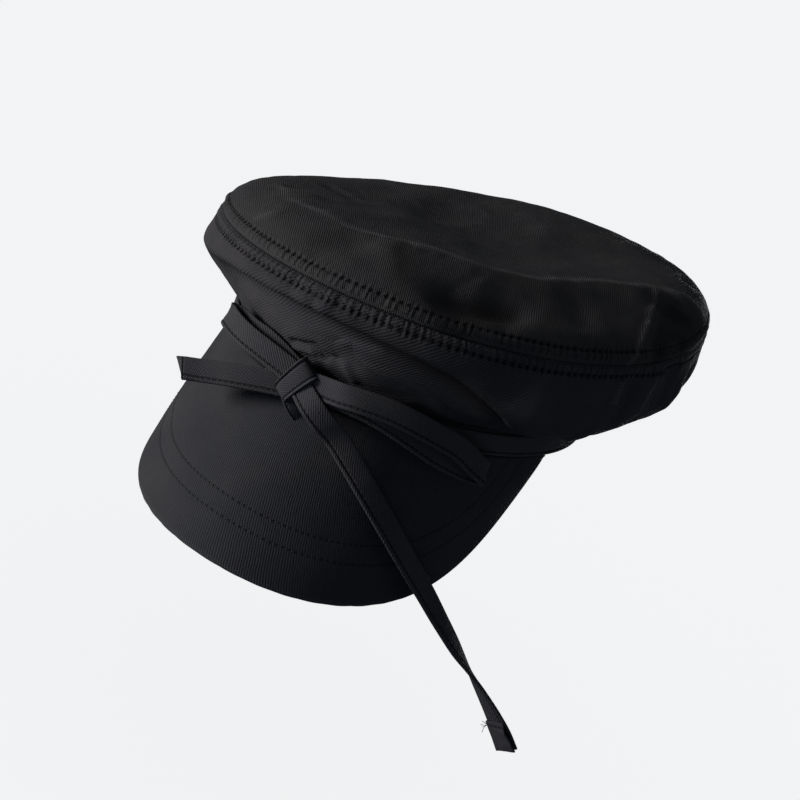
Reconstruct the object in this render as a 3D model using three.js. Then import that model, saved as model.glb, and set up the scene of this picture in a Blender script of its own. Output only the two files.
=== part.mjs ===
// A soft cotton sailor cap: a flat full crown, a low head band, a steep peak, and a narrow
// tie that runs round the band and is knotted in a bow at the front. Millimetres.
// The origin is the middle of the head opening, level with the band's lower edge.
// +Z is up, -Y is the front and +X is the wearer's left.

import * as THREE from "three";

// Gaps and walls
const clear = 0.3; // left between neighbouring pieces
const crownWall = 1.5;
const bandWall = 2;
const peakWall = 3;
const tieWall = 1.4;

// Head band: an oval ring
const bandHalfWide = 84;
const bandHalfLong = 99;
const bandHigh = 12;

// Crown: an oval top panel on a side panel that droops over the band
const seamHalfWide = 116;
const seamHalfLong = 134.5;
const seamBack = 20; // how far its middle sits behind the band's
const seamHigh = 58; // mean height of the seam
const topRise = 14; // how far the top panel swells above its seam
const creaseHigh = 5; // height of the ridges and depth of the hollows in the top
const pleatHigh = 3; // the same for the folds in the side

// Peak
const peakLong = 75.5; // from root to edge at the front
const peakEndLong = 2; // what is left of that at its two ends
const peakSpread = 81; // degrees to each side of the front
const peakFall = 62; // degrees below level at the front
const peakSideFall = 93; // the same at its ends
const peakFlare = 1.14; // how much its sides turn outwards
const peakBow = 2.5; // how far it bulges between root and edge
const peakCorner = 2.73; // the curve of its edge: a higher power has squarer sides
const peakTaper = 0.79; // and a lower power keeps it deep for longer
const peakTurn = 1.53; // how late its sides turn down: a higher power is later

// Tie: one flat sewn strip, round the band and in a bow
const tieWide = 10;
const tieLift = 1; // its lower edge above the band's
const knotHalfHigh = 10.4;
const knotHalfWide = 5.4;
const knotHalfDeep = 4.2;
const knotHigh = 5.8; // its middle
const knotLean = 20; // degrees, its top towards the wearer's left
const knotRound = 0.75; // its section: 1 is an oval, less is squarer
const knotPinch = 0.82; // how wide a strip is where the knot gathers it, as a share
const loopsLeave = 0.48; // how high up the knot's half the loops leave it
const loopsApart = 0.45; // how far apart the front and back strip of a loop start
const tailsLeave = -0.47; // the same as for the loops, for the two ends
const rightLoopLong = 48; // the loop on the wearer's right, along the band
const leftLoopLong = 88;
const shortTail = 42;
const longTail = 186;
const hemLong = 15; // the long end's last stretch, folded back on itself
const hemWalls = 2.2; // the wall of that stretch, as a share of the tie's

// How finely the surfaces are divided
const turnSteps = 72;
const sideSteps = 14;
const topRings = [1, 0.975, 0.93, 0.87, 0.79, 0.7, 0.6, 0.49, 0.37, 0.24, 0.12];
const peakSteps = 36;
const peakRows = 6;
const loopSteps = 26;
const shortSteps = 14;
const tailSteps = 34;
const knotSteps = 16;

// Over this last share of the top panel, its creases fade out towards the seam.
const rimFade = 0.12;

// The side panel is gathered between these degrees, and is divided more finely there.
const gathers = { from: 65, to: 115 };

// The crown round the cap, by degrees from the front towards the wearer's left. The seam's
// "rise" is a share of seamHigh. The side panel goes down from the seam over its brow, an
// overhanging fold, the tuck below that and a cheek above the band: "out" is a share of the
// seam's overhang past the band, "drop" a share of the height from seam to band.
const sideSections = table(
  "at rise browOut browDrop foldOut foldDrop tuckOut tuckDrop cheekOut cheekDrop",
  [
    [0, 0.892, 1.1, 0.12, 1.12, 0.24, 0.52, 0.4, 0.4, 0.68],
    [30, 0.94, 1.08, 0.12, 1.1, 0.3, 0.62, 0.48, 0.4, 0.74],
    [45, 0.971, 1.04, 0.2, 1.06, 0.52, 0.7, 0.78, 0.38, 0.9],
    [60, 1.016, 1.03, 0.24, 1.0, 0.6, 0.7, 0.84, 0.32, 0.95],
    [90, 1.145, 1.0, 0.2, 0.96, 0.46, 0.78, 0.7, 0.42, 0.88],
    [120, 1.27, 1.0, 0.14, 0.95, 0.42, 0.76, 0.67, 0.42, 0.86],
    [150, 1.28, 1.0, 0.15, 0.9, 0.48, 0.66, 0.74, 0.32, 0.91],
    [180, 1.21, 1.01, 0.16, 0.91, 0.5, 0.66, 0.78, 0.32, 0.93],
    [210, 1.04, 1.02, 0.2, 0.92, 0.54, 0.64, 0.8, 0.3, 0.94],
    [240, 0.86, 1.03, 0.25, 0.95, 0.6, 0.62, 0.84, 0.28, 0.96],
    [270, 0.77, 1.04, 0.28, 1.04, 0.62, 0.86, 0.85, 0.46, 0.97],
    [300, 0.785, 1.05, 0.3, 1.12, 0.6, 0.92, 0.84, 0.5, 0.97],
    [330, 0.838, 1.1, 0.15, 1.13, 0.34, 0.52, 0.54, 0.34, 0.78],
  ],
);

// How the top panel swells from its seam, 1, to its middle, 0, as a share of topRise.
const topSwell = table("at swell", [
  [0, 0.9],
  [0.3, 0.97],
  [0.6, 1],
  [0.8, 0.92],
  [0.92, 0.68],
  [0.975, 0.34],
  [1, 0],
]);

// Ridges and hollows of the top panel, each along a straight line. x is towards the wearer's
// left and y towards the back, as shares of the seam's half width and half length from its
// middle, "spread" a share of the half width and "high" a share of creaseHigh.
const topCreases = table("x y toX toY spread high", [
  [-0.58, -0.66, -0.16, -0.7, 0.12, 0.6], // the long ridge, from the wearer's right
  [-0.16, -0.7, 0.1, -0.6, 0.12, 0.8],
  [0.1, -0.6, 0.46, -0.5, 0.13, 1],
  [0.46, -0.5, 0.56, -0.2, 0.13, 1],
  [0.56, -0.2, 0.7, 0.16, 0.12, 0.8],
  [0.28, -0.86, 0.5, -0.76, 0.1, -0.8], // the hollow in front of it
  [-0.1, -0.95, -0.04, -0.86, 0.07, -0.5],
  [0.6, -0.7, 0.66, -0.64, 0.07, 0.5],
  [0.72, 0.18, 0.9, -0.34, 0.06, 0.7], // the sharp crease down to the seam
  [0.84, 0.14, 0.98, -0.18, 0.07, -0.7],
  [-0.2, 0.1, 0.3, 0.2, 0.34, -0.7], // the wide sag towards the back
]);

// Folds that run down the side panel: degrees round the cap, their spread in degrees, where
// they start and end from seam, 0, to band, 1, and their height as a share of pleatHigh.
const sideFolds = table("at spread from to high", [
  [8, 5, 0.55, 0.85, -0.6],
  [17, 6, 0.65, 0.95, 0.6],
  [74, 4, 0, 0.55, 0.9],
  [82, 4, 0, 0.5, -0.8],
  [92, 3.5, 0.06, 0.62, 0.9],
  [98, 3, 0.06, 0.6, -0.8],
  [104, 3.5, 0.05, 0.6, 0.8],
  [140, 12, 0.1, 0.8, 0.5],
  [205, 12, 0.1, 0.8, -0.5],
  [255, 10, 0.1, 0.8, 0.5],
  [292, 8, 0.1, 0.5, -0.3],
]);

// The two loops: out along the front, round the bend and back behind. "run" is a share of
// the loop's length along the band, "out" and "lift" shares of the tie's width, from the
// tie's face and from the knot's middle, "lean" the degrees that its width leans forwards.
const rightLoop = table("run out lift lean", [
  [0.25, 1.05, 0.5, 0],
  [0.55, 1.3, 0.62, 0],
  [0.85, 1.3, 0.68, 0],
  [1, 0.95, 0.74, 0],
  [0.86, 0.62, 0.86, 0],
  [0.55, 0.5, 0.84, 0],
  [0.25, 0.36, 0.66, 0],
]);
const leftLoop = table("run out lift lean", [
  [0.2, 1.1, 0.34, -8],
  [0.5, 1.2, -0.02, -18],
  [0.85, 1.05, -0.52, -10],
  [1, 0.72, -0.78, 0],
  [0.86, 0.56, -0.95, 16],
  [0.5, 0.56, -0.62, 20],
  [0.22, 0.42, 0.02, 8],
]);

// The short end, out past the band's curve; "turn" twists its width, in degrees.
const shortEnd = table("run out lift turn", [
  [0.3, 0.9, -0.8, 4],
  [0.62, 1.6, -1.05, 8],
  [1, 2.6, -1.42, 12],
]);

const shortEndSlant = 0.5; // its end is cut at a slant, longer at the top

// The long end over the peak: shares of the peak's spread and length, how far its middle
// lies off the cloth as a share of its width, and its twist in degrees.
const longEnd = table("side down off turn", [
  [0.15, 0.1, 0.3, 0],
  [0.28, 0.27, 0.38, 26],
  [0.4, 0.5, 0.46, 40],
  [0.5, 0.76, 0.52, 48],
  [0.575, 0.96, 0.56, 54],
]);
// From the peak's edge it hangs on, straight: its direction, and its twist on the way.
const longEndFree = { left: 0.635, back: 0.42, down: 0.725 };
const longEndTwist = table("at turn", [
  [0, 0],
  [0.35, 60],
  [0.7, 102],
  [1, 128],
]);

const degrees = Math.PI / 180;
const up = new THREE.Vector3(0, 0, 1);

// Names the columns of a table.
function table(columns, rows) {
  const names = columns.split(" ");
  return rows.map((row) => Object.fromEntries(row.map((value, i) => [names[i], value])));
}

// The value of a table's column at a place between its rows, on a smooth curve through them.
// With a period, the rows go round and join up.
function follow(rows, column, place, period = 0) {
  const count = rows.length;
  const turnOf = (i) => Math.floor(i / count);
  const pick = (i) => (period ? i - turnOf(i) * count : Math.min(Math.max(i, 0), count - 1));
  const at = (i) => rows[pick(i)].at + (period ? turnOf(i) * period : 0);
  const value = (i) => rows[pick(i)][column];
  const slope = (i) => {
    const run = at(i + 1) - at(i - 1);
    return run ? (value(i + 1) - value(i - 1)) / run : 0;
  };
  const where = period ? place - Math.floor((place - rows[0].at) / period) * period : place;
  let i = 0;
  while (i < (period ? count - 1 : count - 2) && at(i + 1) <= where) i++;
  const step = at(i + 1) - at(i);
  const t = Math.min(Math.max((where - at(i)) / step, 0), 1);
  return (
    value(i) * (1 + 2 * t) * (1 - t) ** 2 +
    value(i + 1) * t * t * (3 - 2 * t) +
    step * slope(i) * t * (1 - t) ** 2 +
    step * slope(i + 1) * t * t * (t - 1)
  );
}

// A smooth curve through points, spaced by the distances between them.
function smoothLine(points) {
  return new THREE.CatmullRomCurve3(points, false, "centripetal");
}

// A point on the band's outer face, level with its lower edge, pushed out by a distance.
function bandPoint(turn, out = 0) {
  const x = (bandHalfWide + out) * Math.sin(turn);
  return new THREE.Vector3(x, -(bandHalfLong + out) * Math.cos(turn), 0);
}

function seamPoint(turn) {
  const high = seamHigh * follow(sideSections, "rise", turn / degrees, 360);
  const y = seamBack - seamHalfLong * Math.cos(turn);
  return new THREE.Vector3(seamHalfWide * Math.sin(turn), y, high);
}

// How much of a fold is felt at a place: all of it on its line, fading to each side.
function bell(distance, spread) {
  return Math.exp(-((distance / spread) ** 2));
}

// Fades in and out at the two ends of a stretch.
function within(place, from, to) {
  if (place <= from || place >= to) return from === 0 && place <= 0 ? 1 : 0;
  const share = (place - from) / (to - from);
  return from === 0 ? Math.cos((share * Math.PI) / 2) : Math.sin(share * Math.PI);
}

// The side panel's section at one turn round the cap, as a curve from seam to band.
function sideCurve(turn) {
  const read = (column) => follow(sideSections, column, turn / degrees, 360);
  const root = bandPoint(turn);
  const rim = seamPoint(turn);
  const top = rim.z - crownWall - clear;
  const low = bandHigh + clear;
  const place = (out, drop) => {
    const point = root.clone().lerp(rim, out);
    point.z = top + (low - top) * drop;
    return point;
  };
  return smoothLine([
    place(1, 0),
    place(read("browOut"), read("browDrop")),
    place(read("foldOut"), read("foldDrop")),
    place(read("tuckOut"), read("tuckDrop")),
    place(read("cheekOut"), read("cheekDrop")),
    place(0, 1),
  ]);
}

function sidePoint(turn, down, curve = sideCurve(turn)) {
  const point = curve.getPointAt(down);
  const outwards = new THREE.Vector3(Math.sin(turn), -Math.cos(turn), 0);
  for (const fold of sideFolds) {
    let away = turn / degrees - fold.at;
    away -= 360 * Math.round(away / 360);
    const high = pleatHigh * fold.high * within(down, fold.from, fold.to);
    point.addScaledVector(outwards, high * bell(away, fold.spread));
  }
  return point;
}

// The distance from a point to a crease's line, both in shares of the top's half width.
function awayFrom(crease, x, y) {
  const runX = crease.toX - crease.x;
  const runY = crease.toY - crease.y;
  const along = ((x - crease.x) * runX + (y - crease.y) * runY) / (runX ** 2 + runY ** 2);
  const t = Math.min(Math.max(along, 0), 1);
  return Math.hypot(x - crease.x - runX * t, y - crease.y - runY * t);
}

// A point on the top panel, by turn and by share of the way from its middle to its seam.
function topPoint(turn, share) {
  const rim = seamPoint(turn);
  const middle = new THREE.Vector3(0, seamBack, seamHigh);
  const point = middle.lerp(rim, share);
  const x = share * Math.sin(turn);
  const y = -share * Math.cos(turn);
  const fade = Math.min(1, (1 - share) / rimFade);
  point.z += topRise * follow(topSwell, "swell", share);
  for (const crease of topCreases) {
    point.z += creaseHigh * crease.high * fade * bell(awayFrom(crease, x, y), crease.spread);
  }
  return point;
}

// A point on the peak's upper face: side goes from -1 to 1, down from its root to its edge.
function peakPoint(side, down) {
  const turn = side * peakSpread * degrees;
  const away = new THREE.Vector3(peakFlare * Math.sin(turn), -Math.cos(turn), 0).normalize();
  const reach = (1 - Math.min(Math.abs(side), 1) ** peakCorner) ** peakTaper;
  const long = peakEndLong + (peakLong - peakEndLong) * reach;
  const fall = (peakFall + (peakSideFall - peakFall) * Math.abs(side) ** peakTurn) * degrees;
  const bow = peakBow * reach * 4 * Math.min(down, 1) * (1 - Math.min(down, 1));
  return bandPoint(turn)
    .addScaledVector(away, down * long * Math.cos(fall) + bow * Math.sin(fall))
    .addScaledVector(up, -clear - down * long * Math.sin(fall) + bow * Math.cos(fall));
}

// The outward direction at a point of a surface, from its neighbours either side.
function facing(surface, u, v, stepU, stepV) {
  const along = surface(u + stepU, v).sub(surface(u - stepU, v));
  const across = surface(u, v + stepV).sub(surface(u, v - stepV));
  return along.cross(across).normalize();
}

// Collects points and triangles, then makes one closed mesh that faces out.
class Body {
  points = [];
  faces = [];

  add(point) {
    return this.points.push(point) - 1;
  }

  quad(a, b, c, d) {
    this.faces.push([a, b, c], [a, c, d]);
  }

  // Joins two rows of points with a strip of faces.
  strip(rowA, rowB, ring) {
    const last = ring ? rowA.length : rowA.length - 1;
    for (let i = 0; i < last; i++) {
      const next = (i + 1) % rowA.length;
      this.quad(rowA[i], rowA[next], rowB[next], rowB[i]);
    }
  }

  fan(row, centre, ring) {
    const last = ring ? row.length : row.length - 1;
    for (let i = 0; i < last; i++) this.faces.push([row[i], row[(i + 1) % row.length], centre]);
  }

  mesh(name, material) {
    const spin = new THREE.Vector3();
    let volume = 0;
    for (const [a, b, c] of this.faces) {
      spin.crossVectors(this.points[b], this.points[c]);
      volume += this.points[a].dot(spin);
    }
    if (volume < 0) this.faces.forEach((face) => face.reverse());
    const geometry = new THREE.BufferGeometry().setFromPoints(this.points);
    geometry.setIndex(this.faces.flat());
    geometry.computeVertexNormals();
    const made = new THREE.Mesh(geometry, material);
    made.name = name;
    return made;
  }
}

// A sheet with a wall, from the rows of its outer face and the rows of its inner face.
// Given centres, the last row closes on them; otherwise every edge is closed by a strip.
function shell(name, material, outer, inner, ring, centres) {
  const body = new Body();
  const outside = outer.map((row) => row.map((point) => body.add(point)));
  const inside = inner.map((row) => row.map((point) => body.add(point)));
  for (let i = 0; i + 1 < outside.length; i++) {
    body.strip(outside[i], outside[i + 1], ring);
    body.strip(inside[i + 1], inside[i], ring);
  }
  body.strip(inside[0], outside[0], ring);
  if (centres) {
    body.fan(outside.at(-1), body.add(centres[0]), ring);
    body.fan([...inside.at(-1)].reverse(), body.add(centres[1]), ring);
  } else {
    body.strip(outside.at(-1), inside.at(-1), ring);
  }
  if (!ring) {
    for (const end of [0, -1]) {
      const edge = [outside.map((row) => row.at(end)), inside.map((row) => row.at(end))];
      if (end) edge.reverse();
      body.strip(edge[0], edge[1], false);
    }
  }
  return body.mesh(name, material);
}

// A bar through a list of sections, each a loop of points. It joins up or has flat ends.
function bar(name, material, sections, ring) {
  const body = new Body();
  const loops = sections.map((section) => section.map((point) => body.add(point)));
  loops.forEach((loop, i) => {
    if (ring || i + 1 < loops.length) body.strip(loop, loops[(i + 1) % loops.length], true);
  });
  if (!ring) {
    for (const loop of [[...loops[0]].reverse(), loops.at(-1)]) {
      for (let i = 1; i + 1 < loop.length; i++) body.faces.push([loop[0], loop[i], loop[i + 1]]);
    }
  }
  return body.mesh(name, material);
}

// The four corners of a flat strip's section.
function stripSection(middle, across, through, wide, wall) {
  const corner = (a, b) =>
    middle
      .clone()
      .addScaledVector(across, (a * wide) / 2)
      .addScaledVector(through, (b * wall) / 2);
  return [corner(-1, -1), corner(1, -1), corner(1, 1), corner(-1, 1)];
}

function turnsRound(steps) {
  return Array.from({ length: steps }, (_, i) => (i * 2 * Math.PI) / steps);
}

// Turns round the crown, with twice as many where the side panel is gathered.
function crownTurns() {
  const step = 360 / turnSteps;
  const gathered = (at) => at > gathers.from - step / 2 && at < gathers.to - step / 2;
  return turnsRound(turnSteps).flatMap((turn) =>
    gathered(turn / degrees) ? [turn, turn + (step / 2) * degrees] : [turn],
  );
}

function cloth(colour, roughness) {
  return new THREE.MeshStandardMaterial({ color: colour, roughness, metalness: 0 });
}

function crownTop() {
  const turns = crownTurns();
  const outer = topRings.map((share) => turns.map((turn) => topPoint(turn, share)));
  const inner = topRings.map((share) =>
    turns.map((turn) => {
      // The edge is cut upright, so that it rests squarely on the side panel.
      if (share === 1) return topPoint(turn, share).addScaledVector(up, -crownWall);
      const across = facing(topPoint, turn, share, 0.01, 0.01);
      if (across.z < 0) across.negate();
      return topPoint(turn, share).addScaledVector(across, -crownWall);
    }),
  );
  const peak = topPoint(0, 0);
  const centres = [peak, peak.clone().addScaledVector(up, -crownWall)];
  return shell("crown_top", cloth(0x2b2b2c, 0.95), outer, inner, true, centres);
}

function crownSide() {
  const turns = crownTurns();
  const rows = Array.from({ length: sideSteps + 1 }, (_, i) => i / sideSteps);
  const curves = new Map(turns.map((turn) => [turn, sideCurve(turn)]));
  const outer = rows.map((down) => turns.map((turn) => sidePoint(turn, down, curves.get(turn))));
  const inner = rows.map((down, i) =>
    turns.map((turn, j) => {
      const above = outer[Math.max(i - 1, 0)][j];
      const below = outer[Math.min(i + 1, sideSteps)][j];
      const before = outer[i][(j + turns.length - 1) % turns.length];
      const after = outer[i][(j + 1) % turns.length];
      const along = after.clone().sub(before);
      const across = along.cross(above.clone().sub(below)).normalize();
      // The two edges are cut level, so that they meet the top panel and the band.
      if (i === 0 || i === sideSteps) across.setZ(0).normalize();
      return outer[i][j].clone().addScaledVector(across, -crownWall);
    }),
  );
  return shell("crown_side", cloth(0x27282b, 0.95), outer, inner, true);
}

// A flat ring round the head, from one height to another.
function ringSections(out, wall, low, high) {
  return turnsRound(turnSteps).map((turn) => {
    const outside = bandPoint(turn, out);
    const inside = bandPoint(turn, out - wall);
    const lift = (point, z) => point.clone().setZ(z);
    return [lift(outside, low), lift(outside, high), lift(inside, high), lift(inside, low)];
  });
}

function headBand() {
  return bar("head_band", cloth(0x242528, 0.95), ringSections(0, bandWall, 0, bandHigh), true);
}

function peak() {
  const sides = Array.from({ length: peakSteps + 1 }, (_, i) =>
    Math.sin(((i / peakSteps) * 2 - 1) * 90 * degrees),
  );
  const rows = Array.from({ length: peakRows + 1 }, (_, i) => i / peakRows);
  const outer = rows.map((down) => sides.map((side) => peakPoint(side, down)));
  const inner = rows.map((down) =>
    sides.map((side) => {
      const near = Math.min(Math.max(side, -0.97), 0.97);
      const across = facing(peakPoint, near, Math.min(Math.max(down, 0.02), 0.98), 0.01, 0.02);
      const outwards = bandPoint(side * peakSpread * degrees);
      if (across.dot(outwards) < 0) across.negate();
      if (down === 0) across.setZ(0).normalize();
      return peakPoint(side, down).addScaledVector(across, -peakWall);
    }),
  );
  return shell("peak", cloth(0x26272c, 0.95), outer, inner, false);
}

const tieOut = clear + tieWall; // the tie's outer face, beyond the band's

function tieBand() {
  const sections = ringSections(tieOut, tieWall, tieLift, tieLift + tieWide);
  return bar("tie_band", cloth(0x222327, 0.95), sections, true);
}

// A place in the knot's own frame: across and along its lean, and out from the tie's face.
const knotMiddle = new THREE.Vector3(0, -bandHalfLong - tieOut - clear - knotHalfDeep, knotHigh);
function knotPoint(across, out, along) {
  const lean = knotLean * degrees;
  return knotMiddle
    .clone()
    .add(new THREE.Vector3(across * Math.cos(lean), 0, -across * Math.sin(lean)))
    .add(new THREE.Vector3(along * Math.sin(lean), -out, along * Math.cos(lean)));
}

function bowKnot() {
  const sections = [-1, -0.86, -0.4, 0.4, 0.86, 1].map((across) => {
    const size = Math.abs(across) === 1 ? 0.85 : 1 - 0.03 * across ** 2;
    return turnsRound(knotSteps).map((turn) => {
      const round = (value) => Math.sign(value) * Math.abs(value) ** knotRound * size;
      const along = knotHalfHigh * round(Math.cos(turn));
      return knotPoint(across * knotHalfWide, knotHalfDeep * round(Math.sin(turn)), along);
    });
  });
  return bar("bow_knot", cloth(0x2a2b30, 0.95), sections, false);
}

// A flat strip along a path. Each station has its place, the direction of its width and
// its width and wall as shares of the tie's.
function tieStrip(name, stations, steps, length = Infinity) {
  const path = smoothLine(stations.map((station) => station.place));
  const whole = path.getLength();
  const used = Math.min(length, whole) / whole;
  const spots = [];
  for (let i = 0; i <= steps; i++) {
    const share = (i / steps) * used;
    const t = path.getUtoTmapping(share) * (stations.length - 1);
    const from = Math.min(Math.floor(t), stations.length - 2);
    const blend = (column) => {
      const a = stations[from][column] ?? 1;
      return a + ((stations[from + 1][column] ?? 1) - a) * (t - from);
    };
    const tangent = path.getTangentAt(share);
    const across = stations[from].across.clone().lerp(stations[from + 1].across, t - from);
    if (i === 0) tangent.copy(stations[0].leave ?? tangent);
    if (i === steps && stations.at(-1).leave) tangent.copy(stations.at(-1).leave);
    across.addScaledVector(tangent, -across.dot(tangent)).normalize();
    const slant = i === steps ? (stations.at(-1).slant ?? 0) : 0;
    const through = tangent.clone().cross(across);
    across.addScaledVector(tangent, slant);
    const wide = tieWide * blend("wide");
    spots.push(stripSection(path.getPointAt(share), across, through, wide, tieWall * blend("wall")));
  }
  return bar(name, cloth(0x2a2b30, 0.95), spots, false);
}

const knotAcross = knotPoint(0, 0, 1).sub(knotMiddle); // the way that the knot's length runs
const knotSide = knotPoint(1, 0, 0).sub(knotMiddle);

// Where a strip leaves the knot, on the side given as -1 or 1: first at the knot's face and
// then a little way straight out of it. "out" and "along" are shares of the knot's halves.
function knotExit(side, out, along) {
  return [clear, clear + tieWall].map((gap) => ({
    place: knotPoint(side * (knotHalfWide + gap), out * knotHalfDeep, along * knotHalfHigh),
    across: knotAcross,
    wide: knotPinch,
    leave: knotSide.clone().multiplyScalar(side),
  }));
}

// One loop of the bow, on the side given as -1 for the wearer's right or 1 for the left.
function bowLoop(name, rows, side, long) {
  const out = knotExit(side, loopsApart, loopsLeave);
  const back = knotExit(side, -loopsApart, loopsLeave).reverse();
  back.forEach((spot) => spot.leave.negate());
  const middle = rows.map((row) => {
    const turn = (side * (row.run * long + knotHalfWide)) / bandHalfLong;
    const outwards = new THREE.Vector3(Math.sin(turn), -Math.cos(turn), 0);
    const place = bandPoint(turn, tieOut + row.out * tieWide).setZ(knotHigh + row.lift * tieWide);
    const lean = row.lean * degrees;
    const across = up.clone().multiplyScalar(Math.cos(lean));
    return { place, across: across.addScaledVector(outwards, -Math.sin(lean)) };
  });
  return tieStrip(name, [...out, ...middle, ...back], loopSteps);
}

function tailShort() {
  const start = knotExit(-1, 0, tailsLeave);
  const rows = shortEnd.map((row) => {
    const turn = (-row.run * shortTail) / bandHalfLong;
    const out = tieOut + row.out * tieWide;
    const place = bandPoint(turn, out).setZ(knotHigh + row.lift * tieWide);
    const twist = row.turn * degrees;
    const across = new THREE.Vector3(0, -Math.sin(twist), Math.cos(twist));
    return { place, across };
  });
  rows.at(-1).slant = shortEndSlant;
  return tieStrip("tail_short", [...start, ...rows], shortSteps);
}

function tailLong() {
  const start = knotExit(1, 0, tailsLeave);
  const onPeak = longEnd.map((row) => {
    const out = facing(peakPoint, row.side, Math.min(row.down, 0.97), 0.01, 0.02);
    if (out.y > 0) out.negate();
    const place = peakPoint(row.side, row.down).addScaledVector(out, row.off * tieWide);
    return { place, out, twist: row.turn * degrees };
  });
  onPeak.forEach((spot, i) => {
    const before = i ? onPeak[i - 1].place : start[1].place;
    const run = (onPeak[i + 1] ?? spot).place.clone().sub(before).normalize();
    const level = spot.out.clone().cross(run).normalize();
    if (level.z < 0) level.negate();
    spot.across = level.multiplyScalar(Math.cos(spot.twist));
    spot.across.addScaledVector(spot.out, Math.sin(spot.twist));
  });
  const last = onPeak.at(-1);
  const free = new THREE.Vector3(longEndFree.left, longEndFree.back, -longEndFree.down);
  free.normalize();
  const done = smoothLine([...start, ...onPeak].map((spot) => spot.place)).getLength();
  const left = longTail - done;
  const hem = Math.min(hemLong, left * 0.4) / left;
  const hanging = [0.35, 0.7, 1 - hem, 1].map((share, i) => ({
    place: last.place.clone().addScaledVector(free, left * share),
    across: last.across
      .clone()
      .applyAxisAngle(free, follow(longEndTwist, "turn", share) * degrees),
    wall: i > 1 ? hemWalls : 1,
  }));
  return tieStrip("tail_long", [...start, ...onPeak, ...hanging], tailSteps);
}

const cap = new THREE.Group();
cap.name = "sailor_cap";
cap.add(crownTop());
cap.add(crownSide());
cap.add(headBand());
cap.add(peak());
cap.add(tieBand());
cap.add(bowKnot());
cap.add(bowLoop("loop_right", rightLoop, -1, rightLoopLong));
cap.add(bowLoop("loop_left", leftLoop, 1, leftLoopLong));
cap.add(tailShort());
cap.add(tailLong());

export default cap;
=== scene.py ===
import math
import bpy
import numpy as np
from mathutils import Matrix, Vector


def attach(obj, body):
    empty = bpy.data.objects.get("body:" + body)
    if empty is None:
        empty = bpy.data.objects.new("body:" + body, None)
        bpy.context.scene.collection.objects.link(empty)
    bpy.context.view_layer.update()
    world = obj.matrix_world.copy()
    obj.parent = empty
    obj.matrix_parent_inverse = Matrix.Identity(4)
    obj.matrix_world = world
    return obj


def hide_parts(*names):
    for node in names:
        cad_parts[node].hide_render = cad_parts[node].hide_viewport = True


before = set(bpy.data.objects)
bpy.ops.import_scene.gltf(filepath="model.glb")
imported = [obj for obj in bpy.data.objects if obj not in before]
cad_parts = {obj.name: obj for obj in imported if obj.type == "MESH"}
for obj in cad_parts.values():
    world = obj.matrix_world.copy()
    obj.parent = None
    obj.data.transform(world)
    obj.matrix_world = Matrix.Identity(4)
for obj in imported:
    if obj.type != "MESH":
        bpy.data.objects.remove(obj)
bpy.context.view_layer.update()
print("frame loaded with", len(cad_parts), "nodes")

mm = 0.001  # shapes are worked out in millimetres, and made in metres
tau = 2 * math.pi
rad = math.pi / 180

# camera, at the photo's angle and roll
cameraView = dict(
    azimuth=23.06, elevation=13.54, roll=22.15,
    away=583.54, target=(0, 0, 40),
    lens=55.11, shiftX=-0.0523, shiftY=-0.1349,
)


def makeCamera(view):
    a, e, roll = (view[k] * rad for k in ("azimuth", "elevation", "roll"))
    right = Vector((math.cos(a), math.sin(a), 0))
    back = Vector((math.sin(a) * math.cos(e), -math.cos(a) * math.cos(e), math.sin(e)))
    up = back.cross(right)
    x = right * math.cos(roll) + up * math.sin(roll)
    y = up * math.cos(roll) - right * math.sin(roll)
    data = bpy.data.cameras.new("photoCamera")
    data.lens, data.sensor_width = view["lens"], 36
    data.shift_x, data.shift_y = view["shiftX"], view["shiftY"]
    data.clip_start, data.clip_end = 0.02, 50
    camera = bpy.data.objects.new("photoCamera", data)
    spot = (Vector(view["target"]) + back * view["away"]) * mm
    camera.matrix_world = Matrix.Translation(spot) @ Matrix((x, y, back)).transposed().to_4x4()
    bpy.context.collection.objects.link(camera)
    bpy.context.scene.camera = camera


makeCamera(cameraView)
print("camera ready")


# shaping helpers, which work on whole arrays of points

def readTable(columns, rows):
    return {n: np.array([row[i] for row in rows], float) for i, n in enumerate(columns.split())}


def follow(rows, column, place, period=0):  # smooth curve through one column
    at, value = rows["at"], rows[column]
    place = np.asarray(place, float)
    if period:
        place = (place - at[0]) % period + at[0]
        at = np.concatenate([at[-1:] - period, at, at[:2] + period])
        value = np.concatenate([value[-1:], value, value[:2]])
    atBefore, atAfter = np.append(at[0], at[:-1]), np.append(at[1:], at[-1])
    rise = np.append(value[1:], value[-1]) - np.append(value[0], value[:-1])
    slope = rise / (atAfter - atBefore)
    i = np.clip(np.searchsorted(at, place, side="right") - 1, 0, len(at) - 2)
    step = at[i + 1] - at[i]
    t = np.clip((place - at[i]) / step, 0, 1)
    return (value[i] * (1 + 2 * t) * (1 - t) ** 2 + value[i + 1] * t * t * (3 - 2 * t)
            + step * slope[i] * t * (1 - t) ** 2 + step * slope[i + 1] * t * t * (t - 1))


def bell(distance, spread):
    return np.exp(-((distance / spread) ** 2))


def ease(value, low, high):  # 0 below low, 1 above high, smooth between
    t = np.clip((value - low) / (high - low), 0, 1)
    return t * t * (3 - 2 * t)


def unit(v):
    return v / np.maximum(np.linalg.norm(v, axis=-1, keepdims=True), 1e-9)


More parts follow.
